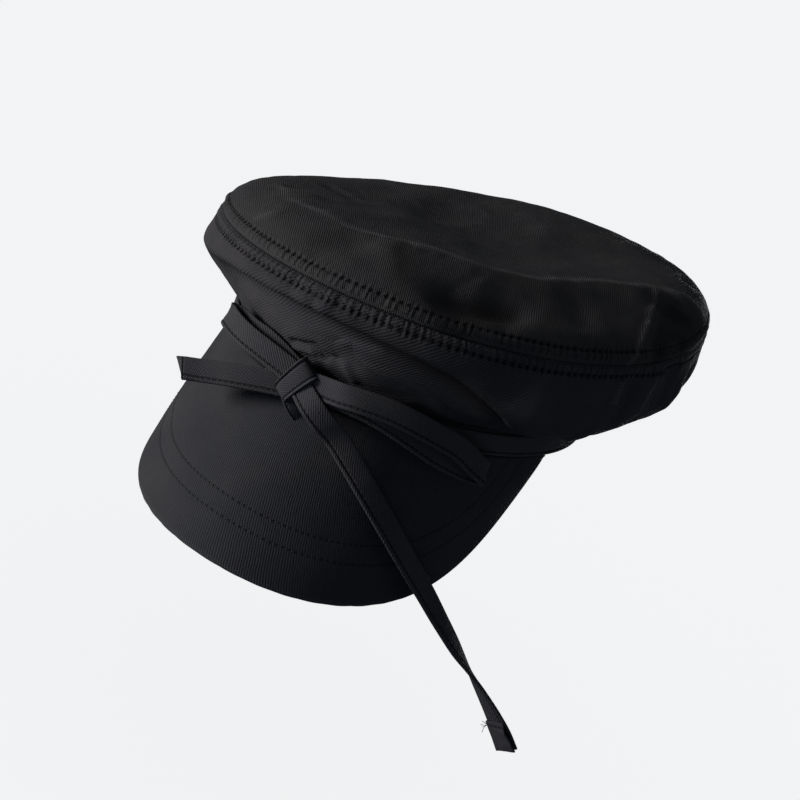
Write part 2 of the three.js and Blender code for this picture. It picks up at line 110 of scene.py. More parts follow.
def smoothRun(controls, steps=24):  # centripetal curve through control points
    p = np.concatenate([2 * controls[:1] - controls[1:2], controls,
                        2 * controls[-1:] - controls[-2:-1]])
    gap = np.maximum(((p[1:] - p[:-1]) ** 2).sum(-1, keepdims=True) ** 0.25, 1e-4)
    points, places = [], []
    for i in range(1, len(p) - 2):
        a, b, c, d = p[i - 1:i + 3]
        g0, g1, g2 = gap[i - 1:i + 2]
        t1 = ((b - a) / g0 - (c - a) / (g0 + g1) + (c - b) / g1) * g1
        t2 = ((c - b) / g1 - (d - b) / (g1 + g2) + (d - c) / g2) * g1
        for x in np.arange(steps) / steps:
            points.append(b + t1 * x + (3 * c - 3 * b - 2 * t1 - t2) * x ** 2
                          + (2 * b - 2 * c + t1 + t2) * x ** 3)
            places.append(i - 1 + x)
    return np.array(points + [p[-2]]), np.array(places + [len(controls) - 1.0])


def runLength(points):
    return np.concatenate([[0], np.cumsum(np.linalg.norm(np.diff(points, axis=0), axis=-1))])


def downRun(grid):  # length down each column of a grid, from its first row
    steps = np.linalg.norm(np.diff(grid, axis=0), axis=-1)
    return np.concatenate([np.zeros((1, grid.shape[1])), np.cumsum(steps, 0)])


def evenly(points, shares, extra=None):  # the same run, by shares of its length
    length = runLength(points)
    at = np.asarray(shares) * length[-1]
    made = np.stack([np.interp(at, length, points[:, k]) for k in range(3)], -1)
    return made if extra is None else (made, np.interp(at, length, extra))


noiseCells = 128


def softNoise(x, y, size, seed):  # smooth random hills, from -1 to 1
    field = np.random.default_rng(seed).uniform(-1, 1, (noiseCells, noiseCells))
    x, y = np.broadcast_arrays(np.asarray(x, float) / size, np.asarray(y, float) / size)
    i, j = np.floor(x).astype(int), np.floor(y).astype(int)
    u, v = x - i, y - j
    u, v = u * u * (3 - 2 * u), v * v * (3 - 2 * v)
    pick = lambda di, dj: field[(i + di) % noiseCells, (j + dj) % noiseCells]
    low = pick(0, 0) * (1 - u) + pick(1, 0) * u
    high = pick(0, 1) * (1 - u) + pick(1, 1) * u
    return low * (1 - v) + high * v


def besideLine(x, y, x0, y0, x1, y1):  # share along a short line, how far off it, and the line's own reach
    runX, runY = x1 - x0, y1 - y0
    t = np.clip(((x - x0) * runX + (y - y0) * runY) / (runX ** 2 + runY ** 2), 0, 1)
    away = np.hypot(x - x0 - runX * t, y - y0 - runY * t)
    return t, away, np.hypot(x0 + runX * t, y0 + runY * t)


def creaseSum(rows, x, y):  # soft ridges and hollows along short straight lines
    total = np.zeros(np.broadcast(x, y).shape)
    for *line, spread, high in zip(*(rows[k] for k in ("x", "y", "toX", "toY", "spread", "high"))):
        total = total + high * bell(besideLine(x, y, *line)[1], spread)
    return total


# crestInner, crestOuter and crestGain shape the painted highlight along the ridge's crest
ridge = dict(inner=0.24, outer=0.13, skirt=0.03, skirtShare=0.2,
             crestInner=0.028, crestOuter=0.011, crestGain=1.7)


def ridgeLift(rows, x, y):  # one crisp ridge through a chain of points, steeper on its outer side
    total, crestHighlight = np.zeros(np.broadcast(x, y).shape), np.zeros(np.broadcast(x, y).shape)
    chain = list(zip(rows["x"], rows["y"], rows["high"]))
    for (x0, y0, high0), (x1, y1, high1) in zip(chain, chain[1:]):
        t, away, reach = besideLine(x, y, x0, y0, x1, y1)
        inner = np.hypot(x, y) < reach
        high = high0 * (1 - t) + high1 * t
        slopes = bell(away, np.where(inner, ridge["inner"], ridge["outer"]))
        lift = (1 - ridge["skirtShare"]) * slopes + ridge["skirtShare"] * np.exp(-away / ridge["skirt"])
        total = np.maximum(total, high * lift)
        # a narrow mask along the crest, for the painted highlight
        edge = bell(away, np.where(inner, ridge["crestInner"], ridge["crestOuter"]))
        crestHighlight = np.maximum(crestHighlight, np.minimum(high * ridge["crestGain"], 1) * edge)
    return total, crestHighlight


def crumple(x, y, size, seed):  # sharp little folds between soft hills
    return 0.6 - np.abs(softNoise(x, y, size, seed)) * 1.5 + 0.35 * softNoise(x, y, size * 0.45, seed + 1)


def gridNormals(grid, ring):
    if ring:
        along = np.roll(grid, -1, 1) - np.roll(grid, 1, 1)
    else:
        along = np.gradient(grid, axis=1)
    return unit(np.cross(along, np.gradient(grid, axis=0)))


# meshes

def addMesh(name, points, faces, material, uvs=(), marks=None):
    mesh = bpy.data.meshes.new(name)
    mesh.from_pydata((np.asarray(points) * mm).tolist(), [], [list(map(int, f)) for f in faces])
    for title, corners in uvs:
        mesh.uv_layers.new(name=title).data.foreach_set("uv", np.asarray(corners, float).ravel())
    for title, values in (marks or {}).items():
        mark = mesh.attributes.new(title, "FLOAT", "POINT")
        mark.data.foreach_set("value", np.asarray(values, float).ravel())
    mesh.polygons.foreach_set("use_smooth", [True] * len(mesh.polygons))
    mesh.materials.append(material)
    mesh.validate(clean_customdata=False)
    piece = bpy.data.objects.new(name, mesh)
    bpy.context.collection.objects.link(piece)
    return piece


def place(piece, slot, *nodes):
    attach(piece, "root")
    if nodes:
        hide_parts(*nodes)
    return piece


def gridFaces(rows, columns, ring, start=0, flip=False):
    across = np.arange(columns if ring else columns - 1)
    i, j = np.meshgrid(np.arange(rows - 1), across, indexing="ij")
    a, b = start + i * columns + j, start + i * columns + (j + 1) % columns
    quads = np.stack([a, b, b + columns, a + columns], -1).reshape(-1, 4)
    return quads[:, ::-1] if flip else quads


def gridCorners(uv, flip=False):  # uv has one more column than the points where it is a ring
    quads = np.stack([uv[:-1, :-1], uv[:-1, 1:], uv[1:, 1:], uv[1:, :-1]], 2)
    return (quads[:, :, ::-1] if flip else quads).reshape(-1, 2)


def clothShell(name, outer, inner, ring, uvs, material, flip=False, marks=None, middle=False):
    rows, columns = outer.shape[:2]
    count = rows * columns
    points = np.concatenate([outer.reshape(-1, 3), inner.reshape(-1, 3)])
    faces = [gridFaces(rows, columns, ring, 0, flip), gridFaces(rows, columns, ring, count, not flip)]
    corners = {t: [gridCorners(uv, flip), gridCorners(uv, not flip)] for t, uv in uvs}

    def closeEdge(first, second, turnOver, line):  # faces between the outer and the inner edge
        quads = np.stack([first, second, count + second, count + first], -1)
        faces.append(quads[:, ::-1] if turnOver else quads)
        for t, uv in uvs:
            edge = uv[line]
            edge = np.stack([edge[:-1], edge[1:], edge[1:], edge[:-1]], 1)
            corners[t].append((edge[:, ::-1] if turnOver else edge).reshape(-1, 2))

    j = np.arange(columns if ring else columns - 1)
    for row in ((0,) if middle else (0, rows - 1)):
        closeEdge(row * columns + j, row * columns + (j + 1) % columns, (row == 0) != flip, row)
    if not ring:
        i = np.arange(rows - 1)
        for column in (0, columns - 1):
            closeEdge(i * columns + column, (i + 1) * columns + column, (column != 0) != flip,
                      (slice(None), column))
    faces = [list(f) for f in np.concatenate(faces)]
    if middle:  # the last rings are tiny, and each is closed by one face
        last = np.arange(columns) + (rows - 1) * columns
        for start, order in ((0, -1 if flip else 1), (count, 1 if flip else -1)):
            faces.append(list((last + start)[::order]))
            for t, uv in uvs:
                corners[t].append(uv[-1, :columns][::order])
    return addMesh(name, points, faces, material, [(t, np.concatenate(c)) for t, c in corners.items()],
                   {t: np.concatenate([v.ravel(), v.ravel()]) for t, v in (marks or {}).items()})


threadSides = 6
stitchDip = np.array([-0.5, 0.06, 0.18, 0.06, -0.5])  # along one stitch, in shares of 1.6 threads
stitchGirth = np.array([0.6, 1, 1.06, 1, 0.6])


def tube(line, out, thick, points, faces):  # one thread, closed at both ends
    across = unit(np.cross(np.gradient(line, axis=0), out))
    ring = np.arange(threadSides) / threadSides * tau
    start, n = sum(len(p) for p in points), len(line)
    made = line[:, None] + thick[:, None, None] * (across[:, None] * np.cos(ring)[None, :, None]
                                                   + unit(out)[:, None] * np.sin(ring)[None, :, None])
    points.append(made.reshape(-1, 3))
    faces.append(gridFaces(n, threadSides, True, start, True))
    for base, order in ((start, 1), (start + (n - 1) * threadSides, -1)):  # each end is two four-sided faces
        cap = (base + np.arange(threadSides))[::order]
        faces.append(np.array([cap[[0, 1, 2, 3]], cap[[0, 3, 4, 5]]]))


def sewStitches(name, lines, facts, material):  # threads between the needle holes, dipping in at their ends
    points, faces = [], []
    for path, normals, length in lines:
        for i in range(int(length[0] / facts["pitch"]), int(length[-1] / facts["pitch"])):
            spots = (i + 0.5) * facts["pitch"] + facts["length"] * np.linspace(-0.5, 0.5, len(stitchDip))
            line, out = (np.stack([np.interp(spots, length, v[:, k]) for k in range(3)], -1)
                         for v in (path, normals))
            out = unit(out)
            line = line + out * stitchDip[:, None] * facts["thick"] * 1.6
            tube(line, out, facts["thick"] / 2 * stitchGirth, points, faces)
    piece = addMesh(name, np.concatenate(points), np.concatenate(faces), material)
    print(name, len(points), "threads")
    return piece


# finishes

class Flow:  # one number socket, so that shader maths reads as plain sums
    def __init__(self, finish, socket):
        self.finish, self.socket = finish, socket

    def sum(self, operation, *values):
        return self.finish.make("ShaderNodeMath", dict(operation=operation), dict(enumerate(values)))["Value"]

    def __add__(self, other): return self.sum("ADD", self, other)
    def __radd__(self, other): return self.sum("ADD", other, self)
    def __sub__(self, other): return self.sum("SUBTRACT", self, other)
    def __rsub__(self, other): return self.sum("SUBTRACT", other, self)
    def __mul__(self, other): return self.sum("MULTIPLY", self, other)
    def __rmul__(self, other): return self.sum("MULTIPLY", other, self)
    def __truediv__(self, other): return self.sum("DIVIDE", self, other)
    def __rtruediv__(self, other): return self.sum("DIVIDE", other, self)
    def __abs__(self): return self.sum("ABSOLUTE", self)
    def sine(self): return self.sum("SINE", self)
    def rest(self, other): return self.sum("FRACT", self / other)
    def smaller(self, other): return self.sum("MINIMUM", self, other)
    def larger(self, other): return self.sum("MAXIMUM", self, other)

    def between(self, low, high):  # 0 to 1, smooth
        return self.finish.make("ShaderNodeMapRange", dict(interpolation_type="SMOOTHSTEP"),
                                {"Value": self, "From Min": low, "From Max": high})["Result"]


class Outputs:  # a node's outputs, by name or number
    def __init__(self, finish, node):
        self.finish, self.node = finish, node

    def __getitem__(self, key):
        return Flow(self.finish, self.node.outputs[key])


class Finish:
    def __init__(self, name):
        self.material = bpy.data.materials.new(name)
        self.material.use_nodes = True
        self.tree = self.material.node_tree
        self.tree.nodes.clear()

    def make(self, kind, settings=None, inputs=None):
        node = self.tree.nodes.new(kind)
        for key, value in (settings or {}).items():  # set first, since they change the sockets
            if key == "stops":
                ramp = node.color_ramp.elements
                while len(ramp) > len(value):
                    ramp.remove(ramp[-1])
                while len(ramp) < len(value):
                    ramp.new(1)
                for stop, (at, shade) in zip(ramp, value):
                    stop.position, stop.color = at, (shade, shade, shade, 1)
            else:
                setattr(node, key, value)
        for key, value in (inputs or {}).items():
            if isinstance(value, Flow):
                self.tree.links.new(value.socket, node.inputs[key])
            else:
                node.inputs[key].default_value = value
        return Outputs(self, node)

    def noise(self, where, size, detail=2.0, rough=0.5):
        return self.make("ShaderNodeTexNoise", {}, {"Vector": where, "Scale": 1 / size, "Detail": detail,
                                                    "Roughness": rough})["Fac"]

    def scaled(self, colour, share):  # a colour times one number
        return self.make("ShaderNodeVectorMath", dict(operation="SCALE"), {0: colour, "Scale": share})["Vector"]

    def tinted(self, colour, tint):
        return self.make("ShaderNodeVectorMath", dict(operation="MULTIPLY"), {0: colour, 1: tint})["Vector"]

    def mixColour(self, share, one, two):  # 6 and 7 are the Mix node's two colours, and 2 its mixed one
        return self.make("ShaderNodeMix", dict(data_type="RGBA", blend_type="MIX"),
                         {0: share, 6: one, 7: two})[2]

    def close(self, shader):
        self.make("ShaderNodeOutputMaterial", {}, {"Surface": shader["BSDF"]})
        return self.material


# what every twill shares: lengths and depths in millimetres, the rest in shares
twill = dict(
    pitch=0.95, floatPitch=1.25, floatLean=2.1, ribDepth=0.12, floatDepth=0.06,
    fuzzSize=0.34, fuzzDepth=0.06, fuzzShade=0.95, patchSize=26, patchShade=0.5, ribShade=0.34, base=0.72,
    wanderSize=9, wander=1.1, wobbleSize=1.6, wobble=0.42,
    rough=0.86, roughSpread=0.12, shine=0.03, warmShare=0.5, warmTint=(1.06, 1.0, 0.93), wear=0,
    # holeDark darkens the needle holes and stitch rows: painted shade
    rows=(), holeWide=1.0, holeDark=0.74, holeDeep=0.6, lineShare=0.12,
    # puckerShade paints light and shade along the puckers' waves, puckerDark paints shade where the cloth
    # gathers
    pucker=0, puckerReach=3.4, puckerShade=0.3, puckerDark=0.16,
)


def needleHoles(run, off, facts):  # one mark from every row, 1 at the holes
    holes = None
    for row in facts["rows"]:
        line = 1 - abs(off - row).between(facts["holeWide"] * 0.35, facts["holeWide"])
        beat = abs(run.rest(facts["stitchPitch"]) - 0.5)  # 0.5 at a hole, 0 halfway between two
        mark = (line * beat.between(0.25, 0.37) + line * facts["lineShare"]).smaller(1)
        holes = mark if holes is None else holes.larger(mark)
    return holes


def gathers(made, run, off, facts):  # where the cloth gathers between the holes, and the waves that it makes
    row = facts["rows"][0]
    where = made.make("ShaderNodeCombineXYZ", {}, {0: run * 0.3, 1: off * 0.07})["Vector"]
    near = off.between(0, 0.8) * (1 - off.between(row, row + facts["puckerReach"]))
    pull = made.noise(where, 1, 2, 0.6).between(0.3, 0.72) * near
    return pull, (run * (tau / facts["stitchPitch"]) + made.noise(where, 1.7, 1) * 9).sine()


def clothFinish(name, facts):
    made = Finish(name)
    uv = made.make("ShaderNodeUVMap", dict(uv_map="cloth"))["UV"]
    parts = made.make("ShaderNodeSeparateXYZ", {}, {0: uv})
    x, y = parts["X"], parts["Y"]
    c, s = math.cos(facts["angle"] * rad), math.sin(facts["angle"] * rad)
    wander = ((made.noise(uv, facts["wanderSize"]) - 0.5) * facts["wander"]
              + (made.noise(uv, facts["wobbleSize"]) - 0.5) * facts["wobble"])
    across = x * c + y * s + wander
    along = y * c - x * s
    ribs = (across * (tau / facts["pitch"])).sine() * 0.5 + 0.5
    floats = along * (tau / (facts["pitch"] * facts["floatPitch"])) + across * facts["floatLean"]
    floats = floats.sine() * 0.5 + 0.5
    fuzz = made.noise(uv, facts["fuzzSize"], 3, 0.65)
    patches = made.noise(uv, facts["patchSize"], 3, 0.55)
    height = ribs * facts["ribDepth"] + ribs * floats * facts["floatDepth"] + fuzz * facts["fuzzDepth"]
    shade = (facts["base"] + ribs * facts["ribShade"] + (fuzz - 0.5) * facts["fuzzShade"]
             + (patches - 0.5) * facts["patchShade"])
    # per-point marks: lighter for rubbed wear, plus painted highlights and painted shade (the top's ridge
    # crest, hollow and wrinkles, the side's fold, the short end's slit)
    if facts["wear"]:
        wear = made.make("ShaderNodeAttribute", dict(attribute_name="wear"))["Fac"]
        shade = shade * (1 + wear * facts["wear"])
    if facts["rows"]:  # stitching follows the sewing coordinates: along the row, and off the edge
        sew = made.make("ShaderNodeUVMap", dict(uv_map="sewing"))["UV"]
        sewParts = made.make("ShaderNodeSeparateXYZ", {}, {0: sew})
        run, off = sewParts["X"], sewParts["Y"]
        holes = needleHoles(run, off, facts)
        if facts["pucker"]:
            pull, wave = gathers(made, run, off, facts)
            height = height + pull * wave * facts["pucker"]
            # painted light and shade along the puckers, and painted shade where the cloth gathers
            shade = shade * (1 + pull * wave * facts["puckerShade"] - pull * facts["puckerDark"])
        # painted shade in the needle holes and along each stitch row
        shade = shade * (1 - holes * facts["holeDark"])
        height = height - holes * facts["holeDeep"]
    colour = made.scaled(facts["colour"], shade)
    warm = made.mixColour(patches.between(0.42, 0.66) * facts["warmShare"], colour,
                          made.tinted(colour, facts["warmTint"]))
    bump = made.make("ShaderNodeBump", {}, {"Strength": 1.0, "Distance": mm, "Height": height})
    return made.close(made.make("ShaderNodeBsdfPrincipled", {}, {
        "Base Color": warm, "Roughness": facts["rough"] + (fuzz - 0.5) * facts["roughSpread"],
        "Normal": bump["Normal"], "Specular IOR Level": facts["shine"]}))


# band and crown, with the sizes and tables of the solids

band = dict(halfWide=84, halfLong=99, high=12, wall=2)
clear = 0.3

crown = dict(
    wall=1.5, halfWide=116, halfLong=134.5, back=20, high=58, rise=14,
    crease=5, pleat=3, rimFade=0.12, turns=432, topRows=84, sideRows=88,
    rowAway=4.4,  # the topstitching, from the seam
    seamRows=22, topSeamReach=9, topEnd=0.6, sideSeamShare=0.13,  # finer rows of points near the seam
)
frontSplit = 500  # a run along the seam below this is counted on past the seam's end

sideSections = readTable(
    "at rise browOut browDrop foldOut foldDrop tuckOut tuckDrop cheekOut cheekDrop", [
        [0, 0.892, 1.1, 0.12, 1.12, 0.24, 0.52, 0.4, 0.4, 0.68],
        [30, 0.94, 1.08, 0.12, 1.1, 0.3, 0.62, 0.48, 0.4, 0.74],
        [45, 0.971, 1.04, 0.2, 1.06, 0.52, 0.7, 0.78, 0.38, 0.9],
        [60, 1.016, 1.03, 0.24, 1.0, 0.6, 0.7, 0.84, 0.32, 0.95],
        [90, 1.145, 1.0, 0.2, 0.96, 0.46, 0.78, 0.7, 0.42, 0.88],
        [120, 1.27, 1.0, 0.14, 0.95, 0.42, 0.76, 0.67, 0.42, 0.86],
        [150, 1.28, 1.0, 0.15, 0.9, 0.48, 0.66, 0.74, 0.32, 0.91],
        [180, 1.21, 1.01, 0.16, 0.91, 0.5, 0.66, 0.78, 0.32, 0.93],
        [210, 1.04, 1.02, 0.2, 0.92, 0.54, 0.64, 0.8, 0.3, 0.94],
        [240, 0.86, 1.03, 0.25, 0.95, 0.6, 0.62, 0.84, 0.28, 0.96],
        [270, 0.77, 1.04, 0.28, 1.04, 0.62, 0.86, 0.85, 0.46, 0.97],
        [300, 0.785, 1.05, 0.3, 1.12, 0.6, 0.92, 0.84, 0.5, 0.97],
        [330, 0.838, 1.1, 0.15, 1.13, 0.34, 0.52, 0.54, 0.34, 0.78],
    ])

topSwell = readTable("at swell", [
    [0, 0.9], [0.3, 0.97], [0.6, 1], [0.8, 0.92], [0.92, 0.68], [0.975, 0.34], [1, 0]])

topRidge = readTable("x y high", [
    [-0.66, -0.5, 0.15], [-0.44, -0.71, 0.5], [-0.26, -0.75, 0.62], [-0.13, -0.78, 0.62], [0.02, -0.74, 0.8],
    [0.17, -0.66, 0.95], [0.3, -0.62, 1], [0.38, -0.56, 1], [0.5, -0.42, 1], [0.58, -0.15, 0.95],
    [0.7, 0.04, 0.85], [0.82, 0.16, 0.7], [0.93, 0.2, 0.35],
])

topCreases = readTable("x y toX toY spread high", [
    [0.37, -0.86, 0.52, -0.74, 0.085, -1.0],
    [0.4, -0.84, 0.48, -0.93, 0.06, -0.4],
    [0.45, -0.84, 0.55, -0.68, 0.06, -0.5],
    [-0.1, -0.95, -0.04, -0.86, 0.07, -0.4],
    [0.58, -0.66, 0.64, -0.76, 0.06, 0.2],
    [0.82, 0.02, 0.95, 0.05, 0.07, -0.75],
    [0.62, -0.42, 0.72, -0.5, 0.06, -0.3],
    [0.06, -0.79, 0.17, -0.92, 0.05, 0.26],
    [-0.4, -0.9, -0.36, -0.83, 0.05, 0.18],
    [-0.2, 0.1, 0.3, 0.2, 0.34, -0.7],
    [-0.5, 0.3, -0.2, -0.3, 0.1, 0.25],
    [0.1, 0.4, 0.42, 0.62, 0.08, 0.3],
])

sideFolds = readTable("at spread from to high", [
    [8, 5, 0.55, 0.85, -0.6],
    [17, 6, 0.65, 0.95, 0.6],
    [74, 4, 0, 0.55, 0.9],
    [82, 4, 0, 0.5, -0.8],
    [92, 3.5, 0.06, 0.62, 0.9],
    [98, 3, 0.06, 0.6, -0.8],
    [104, 3.5, 0.05, 0.6, 0.8],
    [140, 12, 0.1, 0.8, 0.5],
    [205, 12, 0.1, 0.8, -0.5],
    [255, 10, 0.1, 0.8, 0.5],
    [292, 8, 0.1, 0.5, -0.3],
])


def bandPoint(turn, out=0.0, z=0.0):
    turn, out, z = np.broadcast_arrays(np.asarray(turn, float), out, z)
    return np.stack([(band["halfWide"] + out) * np.sin(turn), -(band["halfLong"] + out) * np.cos(turn), z], -1)


def seamPoint(turn):
    high = crown["high"] * follow(sideSections, "rise", turn / rad, 360)
    across, along = crown["halfWide"] * np.sin(turn), crown["back"] - crown["halfLong"] * np.cos(turn)
    return np.stack([across, along, high], -1)


def foldFade(place, start, end):  # at both ends, or at the lower end alone of a fold that starts at the seam
    share = np.clip((place - start) / (end - start), 0, 1)
    return np.cos(share * math.pi / 2) if start == 0 else np.sin(share * math.pi)


def sideGrid(turn, down):
    root, rim = bandPoint(turn), seamPoint(turn)
    top, low = rim[:, 2] - crown["wall"] - clear, band["high"] + clear
    section = lambda name: (follow(sideSections, name + k, turn / rad, 360) for k in ("Out", "Drop"))
    controls = []
    for out, drop in [(1, 0), *map(section, ("brow", "fold", "tuck", "cheek")), (0, 1)]:
        point = root + (rim - root) * np.broadcast_to(out, turn.shape)[:, None]
        point[:, 2] = top + (low - top) * drop
        controls.append(point)
    run, _ = smoothRun(np.array(controls))
    grid = np.stack([evenly(run[:, j], down) for j in range(len(turn))], 1)
    outwards = np.stack([np.sin(turn), -np.cos(turn), 0 * turn], -1)
    lift = np.zeros(grid.shape[:2])
    fromSeam = ease(down, -0.03, 0.12)
    for at, spread, start, end, high in zip(*(sideFolds[k] for k in ("at", "spread", "from", "to", "high"))):
        away = turn / rad - at
        away = away - 360 * np.round(away / 360)
        fade = (foldFade(down, start, end) * fromSeam)[:, None]
        lift += crown["pleat"] * high * fade * bell(away, spread)[None]
    return grid + outwards * lift[..., None]


def topGrid(turn, share):
    rim = seamPoint(turn)
    middle = np.array([0, crown["back"], crown["high"]])
    grid = middle + (rim - middle)[None] * share[:, None, None]
    x, y = share[:, None] * np.sin(turn), -share[:, None] * np.cos(turn)
    fade = np.minimum(1, (1 - share) / crown["rimFade"])[:, None]
    grid[..., 2] += crown["rise"] * follow(topSwell, "swell", share)[:, None]
    grid[..., 2] += crown["crease"] * fade * (ridgeLift(topRidge, x, y)[0] + creaseSum(topCreases, x, y))
    return grid, x, y


def withEnd(values, last):  # one more column, for the closing corner of a ring
    return np.concatenate([values, np.broadcast_to(last, values.shape[:1])[:, None]], 1)


seamShape = dict(
    deep=1.15, wide=0.85, plump=0.12, stitchDeep=0.5, stitchWide=0.8,
    ripple=0.62, rippleSize=3.1, fine=0.22, fineSize=1.9, swell=0.5, swellSize=5.5,
    frontAt=(10, 801), frontWide=24, frontMore=0.9,  # where the puckers are worst
)


def seamRelief(along, away, seed):  # what the seam and its row of stitches do to the cloth
    row, f = crown["rowAway"], seamShape
    front = bell(np.minimum(*(np.abs(along - at) for at in f["frontAt"])), f["frontWide"])
    strong = 0.4 + 0.7 * ease(softNoise(along, 0, 38, seed), -0.3, 0.7) + f["frontMore"] * front
    ripple = (softNoise(along, 0, f["rippleSize"], seed + 1) * f["ripple"]
              + softNoise(along, away, f["fineSize"], seed + 2) * f["fine"])
    relief = -f["deep"] * bell(away, f["wide"])
    relief = relief + f["plump"] * ease(away, 0.6, 1.8) * (1 - ease(away, row - 1.2, row))
    relief = relief - f["stitchDeep"] * bell(away - row, f["stitchWide"])
    relief = relief + 0.62 * ripple * strong * bell(away - row * 0.62, row * 0.55)
    swell = softNoise(along, 3, f["swellSize"], seed + 3)
    return relief + f["swell"] * swell * strong * bell(away - row - 2.5, 4.2)


crownRows = dict(rows=(crown["rowAway"],), stitchPitch=3.3)
crownFinish = clothFinish("crownTwill", dict(
    twill, **crownRows, angle=32, colour=(0.0148, 0.0146, 0.0156), wear=1.1, pucker=0.42,
    warmTint=(1.1, 1.02, 0.9)))
sideFinish = clothFinish("sideTwill", dict(
    twill, **crownRows, angle=54, pitch=1.25, colour=(0.0158, 0.0154, 0.0172), wear=0.7, pucker=0.36))
threadFinish = clothFinish("sewingThread", dict(twill, angle=40, colour=(0.0125, 0.0125, 0.014)))

turns = np.arange(crown["turns"]) / crown["turns"] * tau
seamAlong = runLength(seamPoint(np.append(turns, tau)))  # along the seam, closed

# finer creases on the top, in the plan of the seam's oval, high in millimetres
topWrinkles = readTable("x y toX toY spread high", [
    [0.76, 0.07, 0.86, -0.22, 0.01, 2], [0.86, -0.22, 0.912, -0.41, 0.01, 2],
    [0.85, 0.04, 0.955, -0.25, 0.055, -3.4], [0.92, 0.08, 0.98, -0.08, 0.06, -2.4],
    [0.94, -0.3, 0.975, -0.1, 0.012, 1.1],
    [-0.6, -0.49, -0.45, -0.46, 0.03, -1.3], [-0.62, -0.55, -0.46, -0.54, 0.02, 0.7],
    [-0.63, -0.21, -0.47, -0.27, 0.028, -1.1], [-0.64, -0.15, -0.5, -0.2, 0.02, 0.6],
    [-0.42, -0.86, -0.38, -0.84, 0.03, 0.9],
    [-0.13, -0.81, -0.03, -0.78, 0.012, 0.7], [0.07, -0.76, 0.14, -0.72, 0.01, 0.7],
    [0.09, -0.72, 0.17, -0.7, 0.01, -0.6], [0.12, -0.7, 0.2, -0.69, 0.01, 0.5],
    [0.5, -0.6, 0.53, -0.78, 0.03, 0.4], [0.36, -0.66, 0.34, -0.86, 0.02, -0.5],
    [0.3, -0.3, 0.52, -0.1, 0.02, 0.5], [-0.3, -0.45, 0, -0.4, 0.02, 0.5],
    [-0.1, 0.5, 0.3, 0.7, 0.02, 0.7], [-0.6, 0.4, -0.4, 0.6, 0.02, 0.6],
])
# and on the side, along the seam's run and down the cloth, in millimetres
sideWrinkles = readTable("x y toX toY spread high", [
    [779, 37, 793, 34, 1.5, -1.5], [779, 40, 793, 37, 1.4, 0.8],
    [793, 34, 800, 36, 1.9, -1.9], [800, 36, 806, 35, 1.4, -1.4],
    [806, 26, 824, 24, 3.4, 1.7], [812, 36, 819, 41, 2, 1.2],
    [829, 18, 834, 24, 3, -1.5], [845, 28, 852, 32, 3.4, -1.6],
    [889, 8, 884, 20, 8, 1.2], [884, 20, 889, 36, 8, 0.9],
    [904, 16, 934, 20, 6, -1.6],
    [930, 7, 931, 16, 1.4, 2.2], [931, 16, 931, 42, 2.4, 1.8], [938, 8, 939, 26, 3.2, -2.2],
    [959, 5, 961, 30, 1.6, 1.2], [964.5, 5, 966, 28, 1.6, -1.2], [970, 5, 971, 30, 1.6, 1.3],
    [975.5, 5, 976, 28, 1.6, -1.2], [981, 5, 982, 26, 1.6, 1],
    [745, 30, 770, 22, 3, 0.9], [720, 34, 750, 40, 3, -0.9], [820, 46, 850, 44, 2.2, 0.9],
    [858, 36, 872, 46, 2.4, 0.9], [866, 30, 880, 42, 2.4, -0.9],
])
# the long soft fold under the seam at the front: where it lies down the cloth, and how deep it is
sideFold = readTable("at down deep", [
    [660, 34, 0], [700, 22, 0.7], [735, 14.5, 1.7], [756, 12.5, 2.3], [776, 11.5, 3], [798, 11, 3.1],
    [813, 12, 3.5], [825, 13.5, 3.4], [839, 15.5, 3.6], [854, 18.5, 3.6], [867, 22.5, 3.4], [880, 28, 2.6],
    [893, 36, 1.2], [910, 44, 0],
])


def frontFold(at, run):  # the cloth hangs over itself along the fold, and comes out again lower down
    under = run - follow(sideFold, "down", at)
    sharp = ease(at, 790, 825)  # to the right it hangs over with a sharper edge
    step = ease(under, -1.6 + 0.8 * sharp, 8 - 4.6 * sharp) * (1 - ease(under, 9, 25))
    return follow(sideFold, "deep", at) * ((0.35 - 0.3 * sharp) * bell(under + 3, 3.2)
                                           - (1.2 + 0.45 * sharp) * step)


def stitchRow(run, outer, normals):  # where the topstitching lies, closed round the crown
    row = np.abs(run.mean(1) - crown["rowAway"]).argmin()
    return tuple(np.concatenate([v[row], v[row, :1]]) for v in (outer, normals)) + (seamAlong,)


topSoft = dict(hills=0.6, hillSize=34, folds=0.24, foldSize=13, grain=0.1, grainSize=4.5)
sideSoft = dict(hills=0.6, hillSize=30, folds=0.26, foldSize=12, grain=0.1, grainSize=4.5)
# the top's marks: the ridge entry is a painted highlight along the crest, the hollow and wrinkle entries are
# painted shade; seam and crease lighten the seam's edge and raised wrinkles
topWearAndPaintedLight = dict(ridge=0.9, ridgeSpread=0.5, seam=0.1, crease=0.6, hollow=0.42, wrinkle=0.45)
# the side's marks: seam and crease lighten the seam's edge and raised wrinkles, the fold entries are painted
# shadow under the front fold
sideWearAndPaintedShade = dict(seam=0.3, crease=1.0, fold=0.1, foldSharp=0.22)


